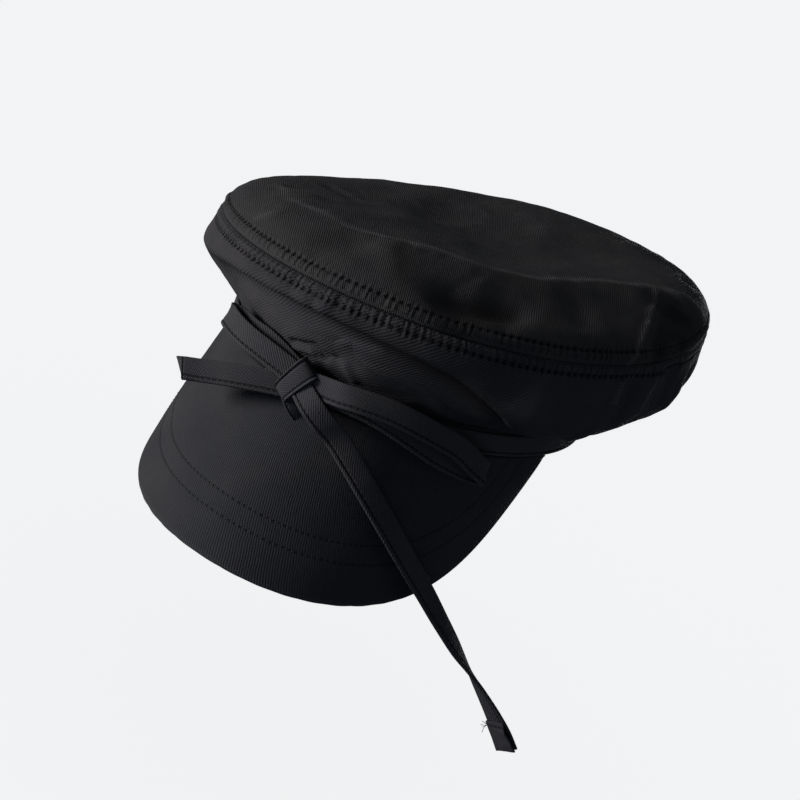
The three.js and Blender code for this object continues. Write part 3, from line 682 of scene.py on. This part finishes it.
def makeTop():
    near = crown["topSeamReach"]
    fine = 1 - np.linspace(0, 1, 400) ** 1.5
    base, _, _ = topGrid(turns, fine)
    length = downRun(base)
    inwards = np.linspace(0, 1, crown["topRows"] - crown["seamRows"] + 1)[1:] ** 1.15
    steps = np.concatenate([np.linspace(0, near, crown["seamRows"]),
                            near + inwards * (length[-1].mean() - near - crown["topEnd"])])
    grid, x, y = topGrid(turns, np.interp(steps, length.mean(1), fine))
    run = downRun(grid)
    normals = -gridNormals(grid, True)
    normals *= np.sign(normals[..., 2:])
    along = np.broadcast_to(seamAlong[:-1], run.shape)
    planX, planY = x * crown["halfWide"], y * crown["halfLong"]
    creases, wrinkles = creaseSum(topCreases, x, y), creaseSum(topWrinkles, x, y)
    f = topSoft
    relief = seamRelief(along, run, 11)
    relief = relief + ease(run, 4, 16) * (f["hills"] * crumple(planX, planY, f["hillSize"], 5)
                                          + f["folds"] * crumple(planX, planY, f["foldSize"], 8)
                                          + f["grain"] * softNoise(planX * 0.6, planY, f["grainSize"], 7))
    relief = relief + ease(run, 0.3, 2.5) * wrinkles
    flatter = 1 - ease(run[-1] - run, 2, 9)  # one height round the middle
    relief = relief * (1 - flatter) + relief[-8:].mean() * flatter
    outer = grid + normals * relief[..., None]
    inner = grid - normals * crown["wall"]
    inner[0] = outer[0] - np.array([0, 0, crown["wall"]])
    toMiddle = run[-1] - run + crown["topEnd"]
    cloth = np.stack([toMiddle * np.sin(turns), -toMiddle * np.cos(turns)], -1)
    cloth = np.concatenate([cloth, cloth[:, :1]], 1)
    sewing = np.stack([withEnd(along, seamAlong[-1]), withEnd(run, run[:, 0])], -1)
    f = topWearAndPaintedLight
    # painted highlight along the ridge's crest, lighter at the seam and on raised wrinkles, painted shade in
    # the front hollow and in deep wrinkle grooves
    wear = ridgeLift(topRidge, x, y)[1] * (f["ridge"] + f["ridgeSpread"] * softNoise(planX, planY, 5, 33))
    wear = wear + f["seam"] * bell(run, 1.6) + f["crease"] * ease(wrinkles, 0.5, 1.4)
    wear = wear - f["hollow"] * ease(-creases, 0.35, 1.1) * ease(-y, 0.4, 0.6)
    wear = wear - f["wrinkle"] * ease(-wrinkles, 0.9, 3)
    piece = clothShell("crownTopCloth", outer, inner, True, [("cloth", cloth), ("sewing", sewing)],
                       crownFinish, marks=dict(wear=wear), middle=True)
    place(piece, "crown_twill", "crown_top")
    print("crown top made,", len(piece.data.polygons), "faces")
    return stitchRow(run, outer, normals)


def makeSide():
    near = crown["sideSeamShare"]
    further = np.linspace(0, 1, crown["sideRows"] - crown["seamRows"] + 1)[1:]
    down = np.concatenate([np.linspace(0, near, crown["seamRows"]), near + (1 - near) * further])
    grid = sideGrid(turns, down)
    run = downRun(grid)
    normals = gridNormals(grid, True)
    if (normals[10] * (grid[10] - [0, crown["back"], 40])).sum() < 0:
        normals = -normals
    along = np.broadcast_to(seamAlong[:-1], run.shape)
    at = np.where(along < frontSplit, along + seamAlong[-1], along)
    wrinkles = creaseSum(sideWrinkles, at, run)
    f = sideSoft
    body = ease(run, 5, 14) * ease(run[-1] - run, 1, 8)
    relief = seamRelief(along, run, 41)
    relief = relief + body * (f["hills"] * crumple(along, run * 1.5, f["hillSize"], 15)
                              + f["folds"] * crumple(along, run * 1.4, f["foldSize"], 18)
                              + f["grain"] * softNoise(along * 0.5, run, f["grainSize"], 17))
    relief = relief + ease(run, 1, 6) * (wrinkles + frontFold(at, run))
    outer = grid + normals * relief[..., None]
    outer[-1] = bandPoint(turns, -0.9, band["high"] - 0.7)  # tucked in behind the band's edge
    inward = normals.copy()
    inward[0, :, 2] = inward[-1, :, 2] = 0
    inner = grid - unit(inward) * crown["wall"]
    inner[0] = outer[0] - unit(inward)[0] * crown["wall"] * 0.9
    inner[-1] = bandPoint(turns, -1.6, band["high"] + 0.2)
    cloth = np.stack([withEnd(along, seamAlong[-1]), withEnd(run, run[:, 0])], -1)
    f = sideWearAndPaintedShade
    under = run - follow(sideFold, "down", at)
    # painted shadow under the front fold's overhang
    shadow = f["fold"] * bell(under - 5, 6) + f["foldSharp"] * ease(at, 785, 825) * bell(under - 2.5, 5)
    wear = f["seam"] * bell(run, 1.6) + f["crease"] * ease(wrinkles, 0.7, 2.2)
    wear = wear - follow(sideFold, "deep", at) * shadow
    piece = clothShell("crownSideCloth", outer, inner, True, [("cloth", cloth), ("sewing", cloth)],
                       sideFinish, flip=True, marks=dict(wear=wear))
    place(piece, "crown_twill", "crown_side")
    print("crown side made,", len(piece.data.polygons), "faces")
    return stitchRow(run, outer, normals)


crownStitch = dict(pitch=3.3, length=1.9, thick=0.42)
seamRows = [makeTop(), makeSide()]
place(sewStitches("crownStitches", seamRows, crownStitch, threadFinish), "crown_twill")


# strips: the band's ring, the tie, its loops and its ends

tie = dict(wide=10, wall=1.4, lift=1, hemAway=1.9, grooveDeep=0.26, stitchPitch=2.6)
tieOut = clear + tie["wall"]

tieFinish = clothFinish("tieTwill", dict(
    twill, angle=52, colour=(0.0205, 0.02, 0.0224), wear=0.85, rows=(tie["hemAway"],),
    holeWide=0.5, holeDark=0.6, lineShare=0.5, stitchPitch=tie["stitchPitch"]))


def stripProfile(wide, wall):  # round a flat strip: a across and b through, in millimetres
    half, r = wide / 2, wall * 0.48
    corner = r * (1 - np.cos(np.linspace(0, math.pi / 2, 5)))
    sewn = tie["hemAway"] - half
    face = np.sort(np.concatenate([
        corner - half, half - corner,
        np.linspace(r - half, half - r, 9)[1:-1],
        sewn + np.linspace(-0.5, 0.5, 5)]))
    over = np.maximum(np.abs(face) - (half - r), 0) / r
    high = wall / 2 * np.sqrt(np.maximum(1 - over ** 2, 0))
    puff = 0.1 * (1 - (face / half) ** 2)
    groove = tie["grooveDeep"] * bell(face - sewn, 0.28)
    front = np.stack([face, high + puff - groove], -1)
    back = np.stack([face, -high + groove * 0.6], -1)[::-1]
    return np.concatenate([front, back[1:-1]])


def cutEnd(points, centres, through, wall, base, run, slant, openLip):
    # one corner of the end is back, and the near layer is shorter than the far one, with a slit between them
    share, nearLayer = base[:, 0] / tie["wide"], ease(-base[:, 1], -0.2, 0.3)
    back = slant * (0.5 - share) + openLip * (0.55 + share) * nearLayer
    slit = bell(run - run[-1] + 0.45, 0.5)[:, None] * nearLayer[None]
    points = points + through[:, None] * (slit * wall[:, None] * 0.55)[..., None]
    fade = ease(run, run[-1] - 14, run[-1])
    way = unit(np.gradient(centres, axis=0))
    # the slit is also darkened in the marks: painted shadow in the slit
    return points - way[:, None] * (fade[:, None] * back[None])[..., None], -slit


def sweepStrip(name, centres, across, through, wide, wall, material, closed=False,
               hollowEnd=None, slant=0.0, openLip=0.0):
    n = len(centres)
    base = stripProfile(tie["wide"], tie["wall"])
    a = base[None, :, 0] * (wide / tie["wide"])[:, None]
    b = base[None, :, 1] * (wall / tie["wall"])[:, None]
    points = centres[:, None] + across[:, None] * a[..., None] + through[:, None] * b[..., None]
    m = points.shape[1]
    run = runLength(np.concatenate([centres, centres[:1]]) if closed else centres)
    marks = None
    if slant or openLip:
        points, wear = cutEnd(points, centres, through, wall, base, run, slant, openLip)
        marks = dict(wear=wear)
    edge = np.linalg.norm(np.diff(np.concatenate([base, base[:1]]), axis=0), axis=-1)
    aroundRun = np.concatenate([[0], np.cumsum(edge)])
    edgeAway = tie["wide"] / 2 + base[:, 0]
    coordinates = {t: np.stack(np.broadcast_arrays(run[:, None], v[None]), -1)
                   for t, v in (("cloth", aroundRun), ("sewing", np.append(edgeAway, edgeAway[0])))}
    i, j = np.meshgrid(np.arange(n if closed else n - 1), np.arange(m), indexing="ij")
    k, l = (i + 1) % n, (j + 1) % m
    faces = list(np.stack([i * m + j, i * m + l, k * m + l, k * m + j], -1).reshape(-1, 4)[:, ::-1])
    points = points.reshape(-1, 3)
    corners = {t: [gridCorners(uv, True)] for t, uv in coordinates.items()}
    if not closed:
        faces.append(tuple(range(m)))
        for t, uv in coordinates.items():
            corners[t].append(uv[0, :m])
        last = np.arange((n - 1) * m, n * m)
        if hollowEnd:  # the end is an open, pressed flat tube
            inset = points[last] - across[-1] * (a[-1] * 0.1)[:, None] - through[-1] * (b[-1] * 0.45)[:, None]
            deeper = inset - unit(centres[-1] - centres[-2]) * hollowEnd
            if marks:
                marks["wear"] = np.concatenate([marks["wear"].ravel(), np.zeros(2 * m)])
            rings = [last, len(points) + np.arange(m), len(points) + m + np.arange(m)]
            points = np.concatenate([points, inset, deeper])
            for outerRing, innerRing in zip(rings, rings[1:]):
                for q in range(m):
                    w = (q + 1) % m
                    faces.append((outerRing[q], innerRing[q], innerRing[w], outerRing[w]))
                    for t, uv in coordinates.items():
                        corners[t].append(uv[-1, [q, q, q + 1, q + 1]])
            last = rings[-1]
        faces.append(tuple(last[::-1]))
        for t, uv in coordinates.items():
            corners[t].append(uv[-1, :m][::-1])
    return addMesh(name, points, faces, material, [(t, np.concatenate(c)) for t, c in corners.items()], marks)


def ringRun(out, z, count):
    turn = np.arange(count) / count * tau
    centres = bandPoint(turn, out, z)
    through = unit(np.stack([np.sin(turn) / band["halfWide"], -np.cos(turn) / band["halfLong"], 0 * turn], -1))
    return centres, np.broadcast_to([0.0, 0.0, 1.0], centres.shape), through


bandFinish = clothFinish("bandTwill", dict(twill, angle=38, colour=(0.0142, 0.0145, 0.0165)))


def makeRing(name, run, wide, wall, finish):
    sizes = np.full(len(run[0]), 1.0)
    return sweepStrip(name, *run, sizes * wide, sizes * wall, finish, closed=True)


def makeBand():
    run = ringRun(-band["wall"] / 2, band["high"] / 2, 220)
    piece = makeRing("headBandCloth", run, band["high"], band["wall"], bandFinish)
    place(piece, "crown_twill", "head_band")


def makeTieBand():
    run = ringRun(tieOut - tie["wall"] / 2, tie["lift"] + tie["wide"] / 2, 260)
    piece = makeRing("tieBandCloth", run, tie["wide"], tie["wall"], tieFinish)
    place(piece, "tie_twill", "tie_band")


makeBand()
makeTieBand()
print("head band and tie band made")


# the peak

peakSizes = dict(
    long=75.5, endLong=2, spread=81, fall=62, sideFall=93, flare=1.14, bow=2.5,
    corner=2.73, taper=0.79, turn=1.53, wall=3, edgeRoll=1.5, columns=250, rows=96, edgeRows=24,
    arcRadius=92, hills=0.3, hillSize=24, folds=0.1, foldSize=9,
    stitchRows=(17.5, 25.5), stitchDeep=0.22, stitchPucker=0.12,
)
peakStitch = dict(pitch=3.0, length=2.3, thick=0.4)


def peakPoint(side, down):
    side, down = np.broadcast_arrays(np.asarray(side, float), np.asarray(down, float))
    p = peakSizes
    turn = side * p["spread"] * rad
    away = unit(np.stack([p["flare"] * np.sin(turn), -np.cos(turn), 0 * turn], -1))
    reach = (1 - np.minimum(np.abs(side), 1) ** p["corner"]) ** p["taper"]
    long = p["endLong"] + (p["long"] - p["endLong"]) * reach
    fall = (p["fall"] + (p["sideFall"] - p["fall"]) * np.abs(side) ** p["turn"]) * rad
    bow = p["bow"] * reach * 4 * np.minimum(down, 1) * (1 - np.minimum(down, 1))
    out = (down * long * np.cos(fall) + bow * np.sin(fall))[..., None] * away
    drop = -clear - down * long * np.sin(fall) + bow * np.cos(fall)
    return bandPoint(turn) + out + drop[..., None] * np.array([0, 0, 1.0])


def peakFacing(side, down):
    side = np.clip(side, -0.97, 0.97)
    down = np.clip(down, 0.02, 0.97)
    along = peakPoint(side + 0.01, down) - peakPoint(side - 0.01, down)
    fall = peakPoint(side, down + 0.02) - peakPoint(side, down - 0.02)
    out = unit(np.cross(along, fall))
    front = bandPoint(side * peakSizes["spread"] * rad)
    return out * np.sign((out * front).sum(-1, keepdims=True))


peakFinish = clothFinish("peakTwill", dict(
    twill, angle=-12, pitch=0.84, ribDepth=0.08, colour=(0.0142, 0.0145, 0.0165), wear=0.35,
    rows=peakSizes["stitchRows"], holeWide=0.6, holeDark=0.24, holeDeep=0.25, stitchPitch=peakStitch["pitch"]))


def fromEdge(grid, edge):  # how far each point is from the peak's edge, and where along it
    flat, block = grid.reshape(-1, 3), 2000
    away, near = np.empty(len(flat)), np.empty(len(flat), int)
    for k in range(0, len(flat), block):
        gaps = ((flat[k:k + block, None] - edge[None]) ** 2).sum(-1)
        near[k:k + block] = gaps.argmin(1)
        away[k:k + block] = np.sqrt(gaps.min(1))
    return away.reshape(grid.shape[:2]), runLength(edge)[near].reshape(grid.shape[:2])


def peakRow(row, side, outer, out, away, along):  # one row of stitches, which keeps its distance from the edge
    path, normals, length = [], [], []
    for j in range(len(side)):
        inside = away[:, j] < row
        k = np.argmax(inside)
        if inside.any() and k > 0 and abs(side[j]) < 0.985:
            t = (away[k - 1, j] - row) / (away[k - 1, j] - away[k, j])
            path.append(outer[k - 1, j] * (1 - t) + outer[k, j] * t)
            normals.append(out[k, j])
            length.append(along[k, j])
    return np.array(path), np.array(normals), np.array(length)


def makePeak():
    p = peakSizes
    side = np.sin(np.linspace(-1, 1, p["columns"]) * math.pi / 2)
    down = np.concatenate([np.linspace(0, 0.9, p["rows"] - p["edgeRows"]),
                           np.linspace(0.9, 1, p["edgeRows"] + 1)[1:]])
    grid = peakPoint(side[None], down[:, None])
    out = peakFacing(*np.broadcast_arrays(side[None], down[:, None]))
    away, along = fromEdge(grid, peakPoint(np.sin(np.linspace(-1, 1, 1200) * math.pi / 2), 1.0))
    run = downRun(grid)
    arc = side * p["spread"] * rad * p["arcRadius"]
    relief = (p["hills"] * softNoise(arc[None], run, p["hillSize"], 61)
              + p["folds"] * softNoise(arc[None], run, p["foldSize"], 62))
    for row in p["stitchRows"]:
        relief = relief - p["stitchDeep"] * bell(away - row, 0.6)
        relief = relief + p["stitchPucker"] * softNoise(along, row, 3.2, 63) * bell(away - row, 2.2)
    relief = relief * ease(away, 0.5, 3)
    toEdge = np.clip(1 - away / p["edgeRoll"], 0, 1)
    roll = p["edgeRoll"] * (1 - np.sqrt(np.clip(1 - toEdge ** 2, 0, 1)))
    outer = grid + out * (relief - roll)[..., None]
    inward = out.copy()
    inward[0, :, 2] = 0
    inner = grid - unit(inward) * (p["wall"] - roll)[..., None]
    cloth = np.stack([np.broadcast_to(arc, run.shape), run], -1)
    sewing = np.stack([along, away], -1)
    # the marks make the cloth lighter along the peak's edge
    piece = clothShell("peakCloth", outer, inner, False, [("cloth", cloth), ("sewing", sewing)], peakFinish,
                       flip=True, marks=dict(wear=bell(away - 0.4, 1.4)))
    place(piece, "peak_twill", "peak")
    lines = [peakRow(row, side, outer, out, away, along) for row in p["stitchRows"]]
    place(sewStitches("peakStitches", lines, peakStitch, threadFinish), "peak_twill")
    print("peak made,", len(piece.data.polygons), "faces")


makePeak()


# the bow: knot, loops and ends, where each strip's middle runs and which way its width points

knot = dict(halfHigh=9.3, halfWide=5.1, halfDeep=4.3, high=5.8, lean=29, wraps=62,
            lip=0.34, groove=0.42, edge=1.2, bulge=0.12, tug=0.07)

rightLoop = readTable("x y z acrossX acrossY acrossZ", [
    [-1.7, -106.5, 8.7, 0.27, 0.4, 0.87],
    [-5, -106.9, 9.5, 0.25, 0.4, 0.88],
    [-15.6, -107.6, 11.2, 0.2, 0.34, 0.92],
    [-28.7, -106.4, 12.4, 0.2, 0.33, 0.92],
    [-39.6, -102.3, 13.2, 0.12, 0.33, 0.93],
    [-45.6, -97.6, 13.7, 0.1, 0.33, 0.93],
    [-41.4, -96.8, 13.9, 0.14, 0.33, 0.93],
    [-30.7, -101.2, 13.9, 0.2, 0.33, 0.92],
    [-21.2, -102.9, 13.8, 0.2, 0.34, 0.92],
    [-5.5, -105, 10.6, 0.2, 0.44, 0.88],
    [-1.7, -105.6, 9.5, 0.2, 0.46, 0.87],
])
leftLoop = readTable("x y z acrossX acrossY acrossZ", [
    [5, -105.6, 7.9, -0.26, 0.25, 0.93],
    [14.4, -106.2, 9.7, -0.28, 0.28, 0.92],
    [22.8, -107, 11.3, -0.22, 0.28, 0.94],
    [29.5, -105.4, 12.3, -0.2, 0.32, 0.93],
    [40.9, -99.8, 12.8, -0.12, 0.25, 0.96],
    [50.7, -93.4, 11.5, -0.04, 0.24, 0.97],
    [59.7, -85.8, 8.8, 0, 0.25, 0.97],
    [66.6, -78, 5.8, 0.03, 0.27, 0.96],
    [72.6, -70.6, 0.6, 0, 0.33, 0.94],
    [75.9, -67, -2, -0.16, 0.2, 0.96],
    [76, -64.6, -3.9, -0.2, 0.16, 0.96],
    [73.6, -65.3, -4.7, -0.16, 0.22, 0.95],
    [69.2, -69.9, -4, -0.06, 0.34, 0.94],
    [60.2, -79.3, -1, -0.09, 0.4, 0.91],
    [50.5, -87.2, 3, -0.1, 0.42, 0.9],
    [40.5, -94, 6.5, -0.12, 0.42, 0.9],
    [30.2, -98.8, 8, -0.16, 0.42, 0.89],
    [20, -102.2, 8, -0.26, 0.38, 0.88],
    [6, -105.4, 7.3, -0.29, 0.42, 0.86],
])
shortEnd = readTable("x y z acrossX acrossY acrossZ wall", [
    [0, -103.6, 2.5, -0.42, 0.15, 0.9, 1],
    [-5.9, -106, 1.5, -0.42, 0.16, 0.9, 1],
    [-11.8, -108, 0.2, -0.42, 0.2, 0.89, 1],
    [-24.2, -111.7, -3.2, -0.43, 0.32, 0.84, 1],
    [-37.7, -114.9, -7.5, -0.42, 0.4, 0.81, 1.1],
    [-49.5, -118, -11.3, -0.43, 0.43, 0.79, 2.1],
])
longEnd = readTable("x y z acrossX acrossY acrossZ wall", [
    [-3, -105.4, 8.6, 0.43, 0.05, 0.9, 1],
    [5.6, -107.9, 4.9, 0.5, 0.2, 0.84, 1],
    [13.6, -110.3, 1.8, 0.56, 0.34, 0.76, 1],
    [20, -108.8, -2, 0.6, 0.42, 0.68, 1],
    [26.6, -104.9, -6.8, 0.6, 0.48, 0.63, 1],
    [35.9, -102.7, -13.7, 0.57, 0.64, 0.51, 1],
    [46.1, -101.2, -21, 0.51, 0.76, 0.39, 1],
    [56.8, -97.9, -29.9, 0.45, 0.84, 0.27, 1],
    [68.5, -91, -42.1, 0.34, 0.92, 0.18, 1],
    [78.1, -82.5, -54, 0.21, 0.96, 0.13, 1],
    [86.9, -74.6, -65.4, 0.08, 0.99, 0.06, 1.1],
    [95.8, -67.7, -75.9, -0.1, 0.99, -0.05, 1.2],
    [101.9, -63.6, -82.3, -0.37, 0.9, -0.21, 1.2],
    [107.6, -59.9, -88.4, -0.58, 0.72, -0.38, 1.1],
    [113.6, -55.9, -95.2, -0.7, 0.53, -0.48, 1],
    [118.7, -52.5, -101.2, -0.78, 0.34, -0.52, 0.9],
    [124.2, -49.1, -108, -0.83, 0.14, -0.54, 0.8],
    [129, -46.4, -114.6, -0.82, 0.04, -0.57, 0.8],
])
knotFold = readTable("x y z acrossX acrossY acrossZ wide", [
    [-3, -105.6, 2.4, 0.5, 0.3, 0.8, 0.7],
    [0.2, -105.6, -2, 0.5, 0.4, 0.77, 0.62],
    [3.4, -104.8, -5.6, 0.52, 0.5, 0.7, 0.55],
    [6.8, -103, -8.6, 0.5, 0.6, 0.6, 0.5],
])

knotMiddle = np.array([0, -band["halfLong"] - tieOut - clear - knot["halfDeep"], knot["high"]])
lean = knot["lean"] * rad
knotSide = np.array([math.cos(lean), 0, -math.sin(lean)])
knotUp = np.array([math.sin(lean), 0, math.cos(lean)])


def tieRun(rows, steps):  # middles, widths' way and facing along one strip of the tie
    path, places = smoothRun(np.stack([rows[k] for k in ("x", "y", "z")], -1))
    centres, t = evenly(path, np.linspace(0, 1, steps), places)
    at = dict(rows, at=np.arange(len(rows["x"]), dtype=float))
    across = np.stack([follow(at, k, t) for k in ("acrossX", "acrossY", "acrossZ")], -1)
    wall = tie["wall"] * (follow(at, "wall", t) if "wall" in rows else np.ones(steps))
    tangent = unit(np.gradient(centres, axis=0))
    across = unit(across - tangent * (across * tangent).sum(-1, keepdims=True))
    wide = tie["wide"] * (follow(at, "wide", t) if "wide" in rows else np.ones(steps))
    return centres, across, np.cross(tangent, across), wide, wall


def makeStrip(name, nodes, rows, steps, held, restsOn, **ends):
    run = tieRun(rows, steps)
    piece = sweepStrip(name, *run, tieFinish, **ends)
    place(piece, "tie_twill", *nodes)
    return run


def makeKnot():
    wide = np.sin(np.linspace(-1, 1, 52) * math.pi / 2)
    ring = np.arange(108) / 108 * tau
    k = knot
    section = lambda v, power: np.sign(v) * np.abs(v) ** power
    away = (1 - np.abs(wide)) * k["halfWide"]  # from the nearer edge of the wrap
    rise = k["lip"] * bell(away - 0.75, 0.42) - k["groove"] * bell(away - 1.75, 0.3)
    rise = rise - k["edge"] * bell(away, 0.28) + k["bulge"] * np.cos(wide * 2.2)
    tug = 1 + k["tug"] * np.cos(ring - 0.6)[None] * np.ones((len(wide), 1))
    out = k["halfDeep"] * section(np.sin(ring), 0.8) + np.sin(ring) * rise[:, None]
    high = (k["halfHigh"] * section(np.cos(ring), 0.85) + np.cos(ring) * rise[:, None]) * tug
    side = wide[:, None] * k["halfWide"] * (1 - 0.12 * np.cos(ring - math.pi)[None])
    points = (knotMiddle + side[..., None] * knotSide + high[..., None] * knotUp
              + out[..., None] * np.array([0, -1.0, 0]))
    length = np.append(runLength(points[len(wide) // 2]), k["wraps"])
    cloth = np.stack(np.broadcast_arrays(length[None], (wide * k["halfWide"])[:, None]), -1)
    n, m = points.shape[:2]
    quads = gridFaces(n, m, True, 0, False)
    ends = [tuple(range(m))[::-1], tuple(range((n - 1) * m, n * m))]
    corners = np.concatenate([gridCorners(cloth), cloth[0, :m][::-1], cloth[-1, :m]])
    piece = addMesh("knotCloth", points.reshape(-1, 3), list(quads) + ends, tieFinish,
                    [("cloth", corners), ("sewing", corners + 40)])  # 40 off, so that no stitches fall on it
    place(piece, "tie_twill", "bow_knot")


hem = dict(long=15, wall=0.8, openNear=2.1, openLow=0.9, shut=0.1, rows=46, columns=26, sewnRow=6,
           threads=5, threadThick=0.11)
hemStitch = dict(pitch=2.1, length=1.6, thick=0.3)


def makeHem(run):  # the turned-back end of the long strip, sewn across at its top
    centres, across, through, _, wall = run
    length = runLength(centres)
    at = length[-1] - hem["long"] * np.linspace(1, 0, hem["rows"])
    pick = lambda rows: np.stack([np.interp(at, length, rows[:, k]) for k in range(3)], -1)
    middle, side, face = pick(centres), unit(pick(across)), unit(pick(through))
    share = np.linspace(-1, 1, hem["columns"])
    t = np.linspace(0, 1, hem["rows"])[:, None]
    opened = (hem["openNear"] + (hem["openLow"] - hem["openNear"]) * t ** 2) * ease(t, -0.02, 0.3)
    gap = hem["shut"] + opened * (0.5 - share[None] * 0.5) ** 1.5
    off = np.interp(at, length, wall)[:, None] / 2 + gap
    off = off + 0.16 * softNoise(at[:, None], share[None] * 5, 3.4, 91)
    flat = np.broadcast_to(share * (tie["wide"] / 2 - 0.25) + 0.12, off.shape)
    inner = middle[:, None] + side[:, None] * flat[..., None] - face[:, None] * off[..., None]
    outer = inner - face[:, None] * hem["wall"]
    cloth = np.stack(np.broadcast_arrays(at[:, None], flat), -1)
    sewing = np.stack(np.broadcast_arrays(flat, (at - at[0])[:, None]), -1)
    piece = clothShell("longEndHem", outer, inner, False, [("cloth", cloth), ("sewing", sewing)], tieFinish)
    place(piece, "tie_twill")
    row, facing = outer[hem["sewnRow"]], -face[hem["sewnRow"]] + np.zeros((hem["columns"], 3))
    stitches = sewStitches("hemStitches", [(row, facing, runLength(row))], hemStitch, threadFinish)
    place(stitches, "tie_twill")
    rng = np.random.default_rng(7)
    points, faces = [], []
    s = np.linspace(0, 1, 9)[:, None]
    for i in range(hem["threads"]):  # loose ends of the sewing thread
        start = outer[4 + i % 3, -1]
        way = side[5] * rng.uniform(0.6, 1) + np.array([0, 0, 1.0]) * rng.uniform(-0.9, 0.8)
        way = way - face[5] * rng.uniform(0, 0.5)
        bend = np.cross(way, face[5]) * rng.uniform(-1.6, 1.6)
        line = start + way * s * rng.uniform(1.6, 3.2) + bend * s * s
        tube(line, face[5] + np.zeros((9, 3)), hem["threadThick"] * np.ones(9), points, faces)
    threads = addMesh("looseThreads", np.concatenate(points), np.concatenate(faces), threadFinish)
    place(threads, "tie_twill")


makeKnot()
makeStrip("rightLoopCloth", ["loop_right"], rightLoop, 170, "folded", ["knotCloth"])
makeStrip("leftLoopCloth", ["loop_left"], leftLoop, 240, "folded", ["knotCloth"])
makeStrip("shortEndCloth", ["tail_short"], shortEnd, 130, "hung", ["knotCloth"],
          hollowEnd=4, slant=5, openLip=2.6)
longRun = makeStrip("longEndCloth", ["tail_long"], longEnd, 300, "hung", ["knotCloth", "peakCloth"])
makeStrip("knotFoldCloth", [], knotFold, 40, "folded", ["knotCloth"])
makeHem(longRun)


# floor and light

studio = dict(
    floorLow=-190, floorShade=0.35, floorGlow=0.84, roomLight=0.2, roomColour=(0.72, 0.84, 1, 1), sides=96,
    rings=((0.35, 0), (0.8, 0), (1.6, 0), (2.4, 0), (2.8, 0.05),  # radius and height in metres
           (3.05, 0.2), (3.2, 0.5), (3.25, 1.1), (3.25, 2)),
    lamps=dict(
        key=dict(toward=(-0.8, -0.6, 0.1), away=1.5, size=0.6, power=64, colour=(1, 0.97, 0.95)),
        fill=dict(toward=(0.45, -0.8, -0.35), away=1.5, size=1.2, power=14, colour=(0.6, 0.78, 1)),
        side=dict(toward=(1, 0.2, -0.05), away=1.5, size=1, power=3.5, colour=(0.95, 1, 1)),
        back=dict(toward=(0, 1, -0.15), away=1.5, size=0.8, power=26, colour=(1, 1, 1)),
        top=dict(toward=(-0.3, 0.1, 0.9), away=1.5, size=0.9, power=5, colour=(1, 1, 1)),
    ))


def makeStudio():
    count = studio["sides"]
    turn = np.arange(count) / count * tau
    rings = np.array(studio["rings"]) / mm
    points = np.stack([rings[:, :1] * np.cos(turn), rings[:, :1] * np.sin(turn),
                       np.broadcast_to(rings[:, 1:] + studio["floorLow"], (len(rings), count))], -1)
    faces = list(gridFaces(len(rings), count, True)) + [tuple(range(count))[::-1]]
    paper = Finish("paperFloor")
    shader = paper.make("ShaderNodeBsdfPrincipled", {}, {
        "Base Color": (studio["floorShade"],) * 3 + (1,), "Roughness": 1, "Specular IOR Level": 0,
        "Emission Color": (1, 1, 1, 1), "Emission Strength": studio["floorGlow"]})
    floor = addMesh("paperFloor", points.reshape(-1, 3), faces, paper.close(shader))
    floor.visible_diffuse = floor.visible_glossy = False  # the room and lamps alone light the cloth
    world = bpy.data.worlds.new("softRoom")
    bpy.context.scene.world = world
    world.use_nodes = True
    room = world.node_tree.nodes["Background"].inputs
    room["Color"].default_value, room["Strength"].default_value = studio["roomColour"], studio["roomLight"]
    onlyCap = bpy.data.collections.new("onlyCap")  # the lamps light the cap, the paper glows by itself
    onlyCap.objects.link(floor)
    onlyCap.collection_objects[0].light_linking.link_state = "EXCLUDE"
    for name, lamp in studio["lamps"].items():
        data = bpy.data.lights.new(name + "Light", "AREA")
        data.shape, data.size, data.energy, data.color = "DISK", lamp["size"], lamp["power"], lamp["colour"]
        spot = bpy.data.objects.new(name + "Light", data)
        toward = Vector(lamp["toward"]).normalized()
        spot.location = toward * lamp["away"]
        spot.rotation_mode = "QUATERNION"
        spot.rotation_quaternion = toward.to_track_quat("Z", "Y")
        spot.light_linking.receiver_collection = onlyCap
        bpy.context.collection.objects.link(spot)
    bpy.context.scene.view_settings.view_transform = "Standard"


makeStudio()
print("studio ready")
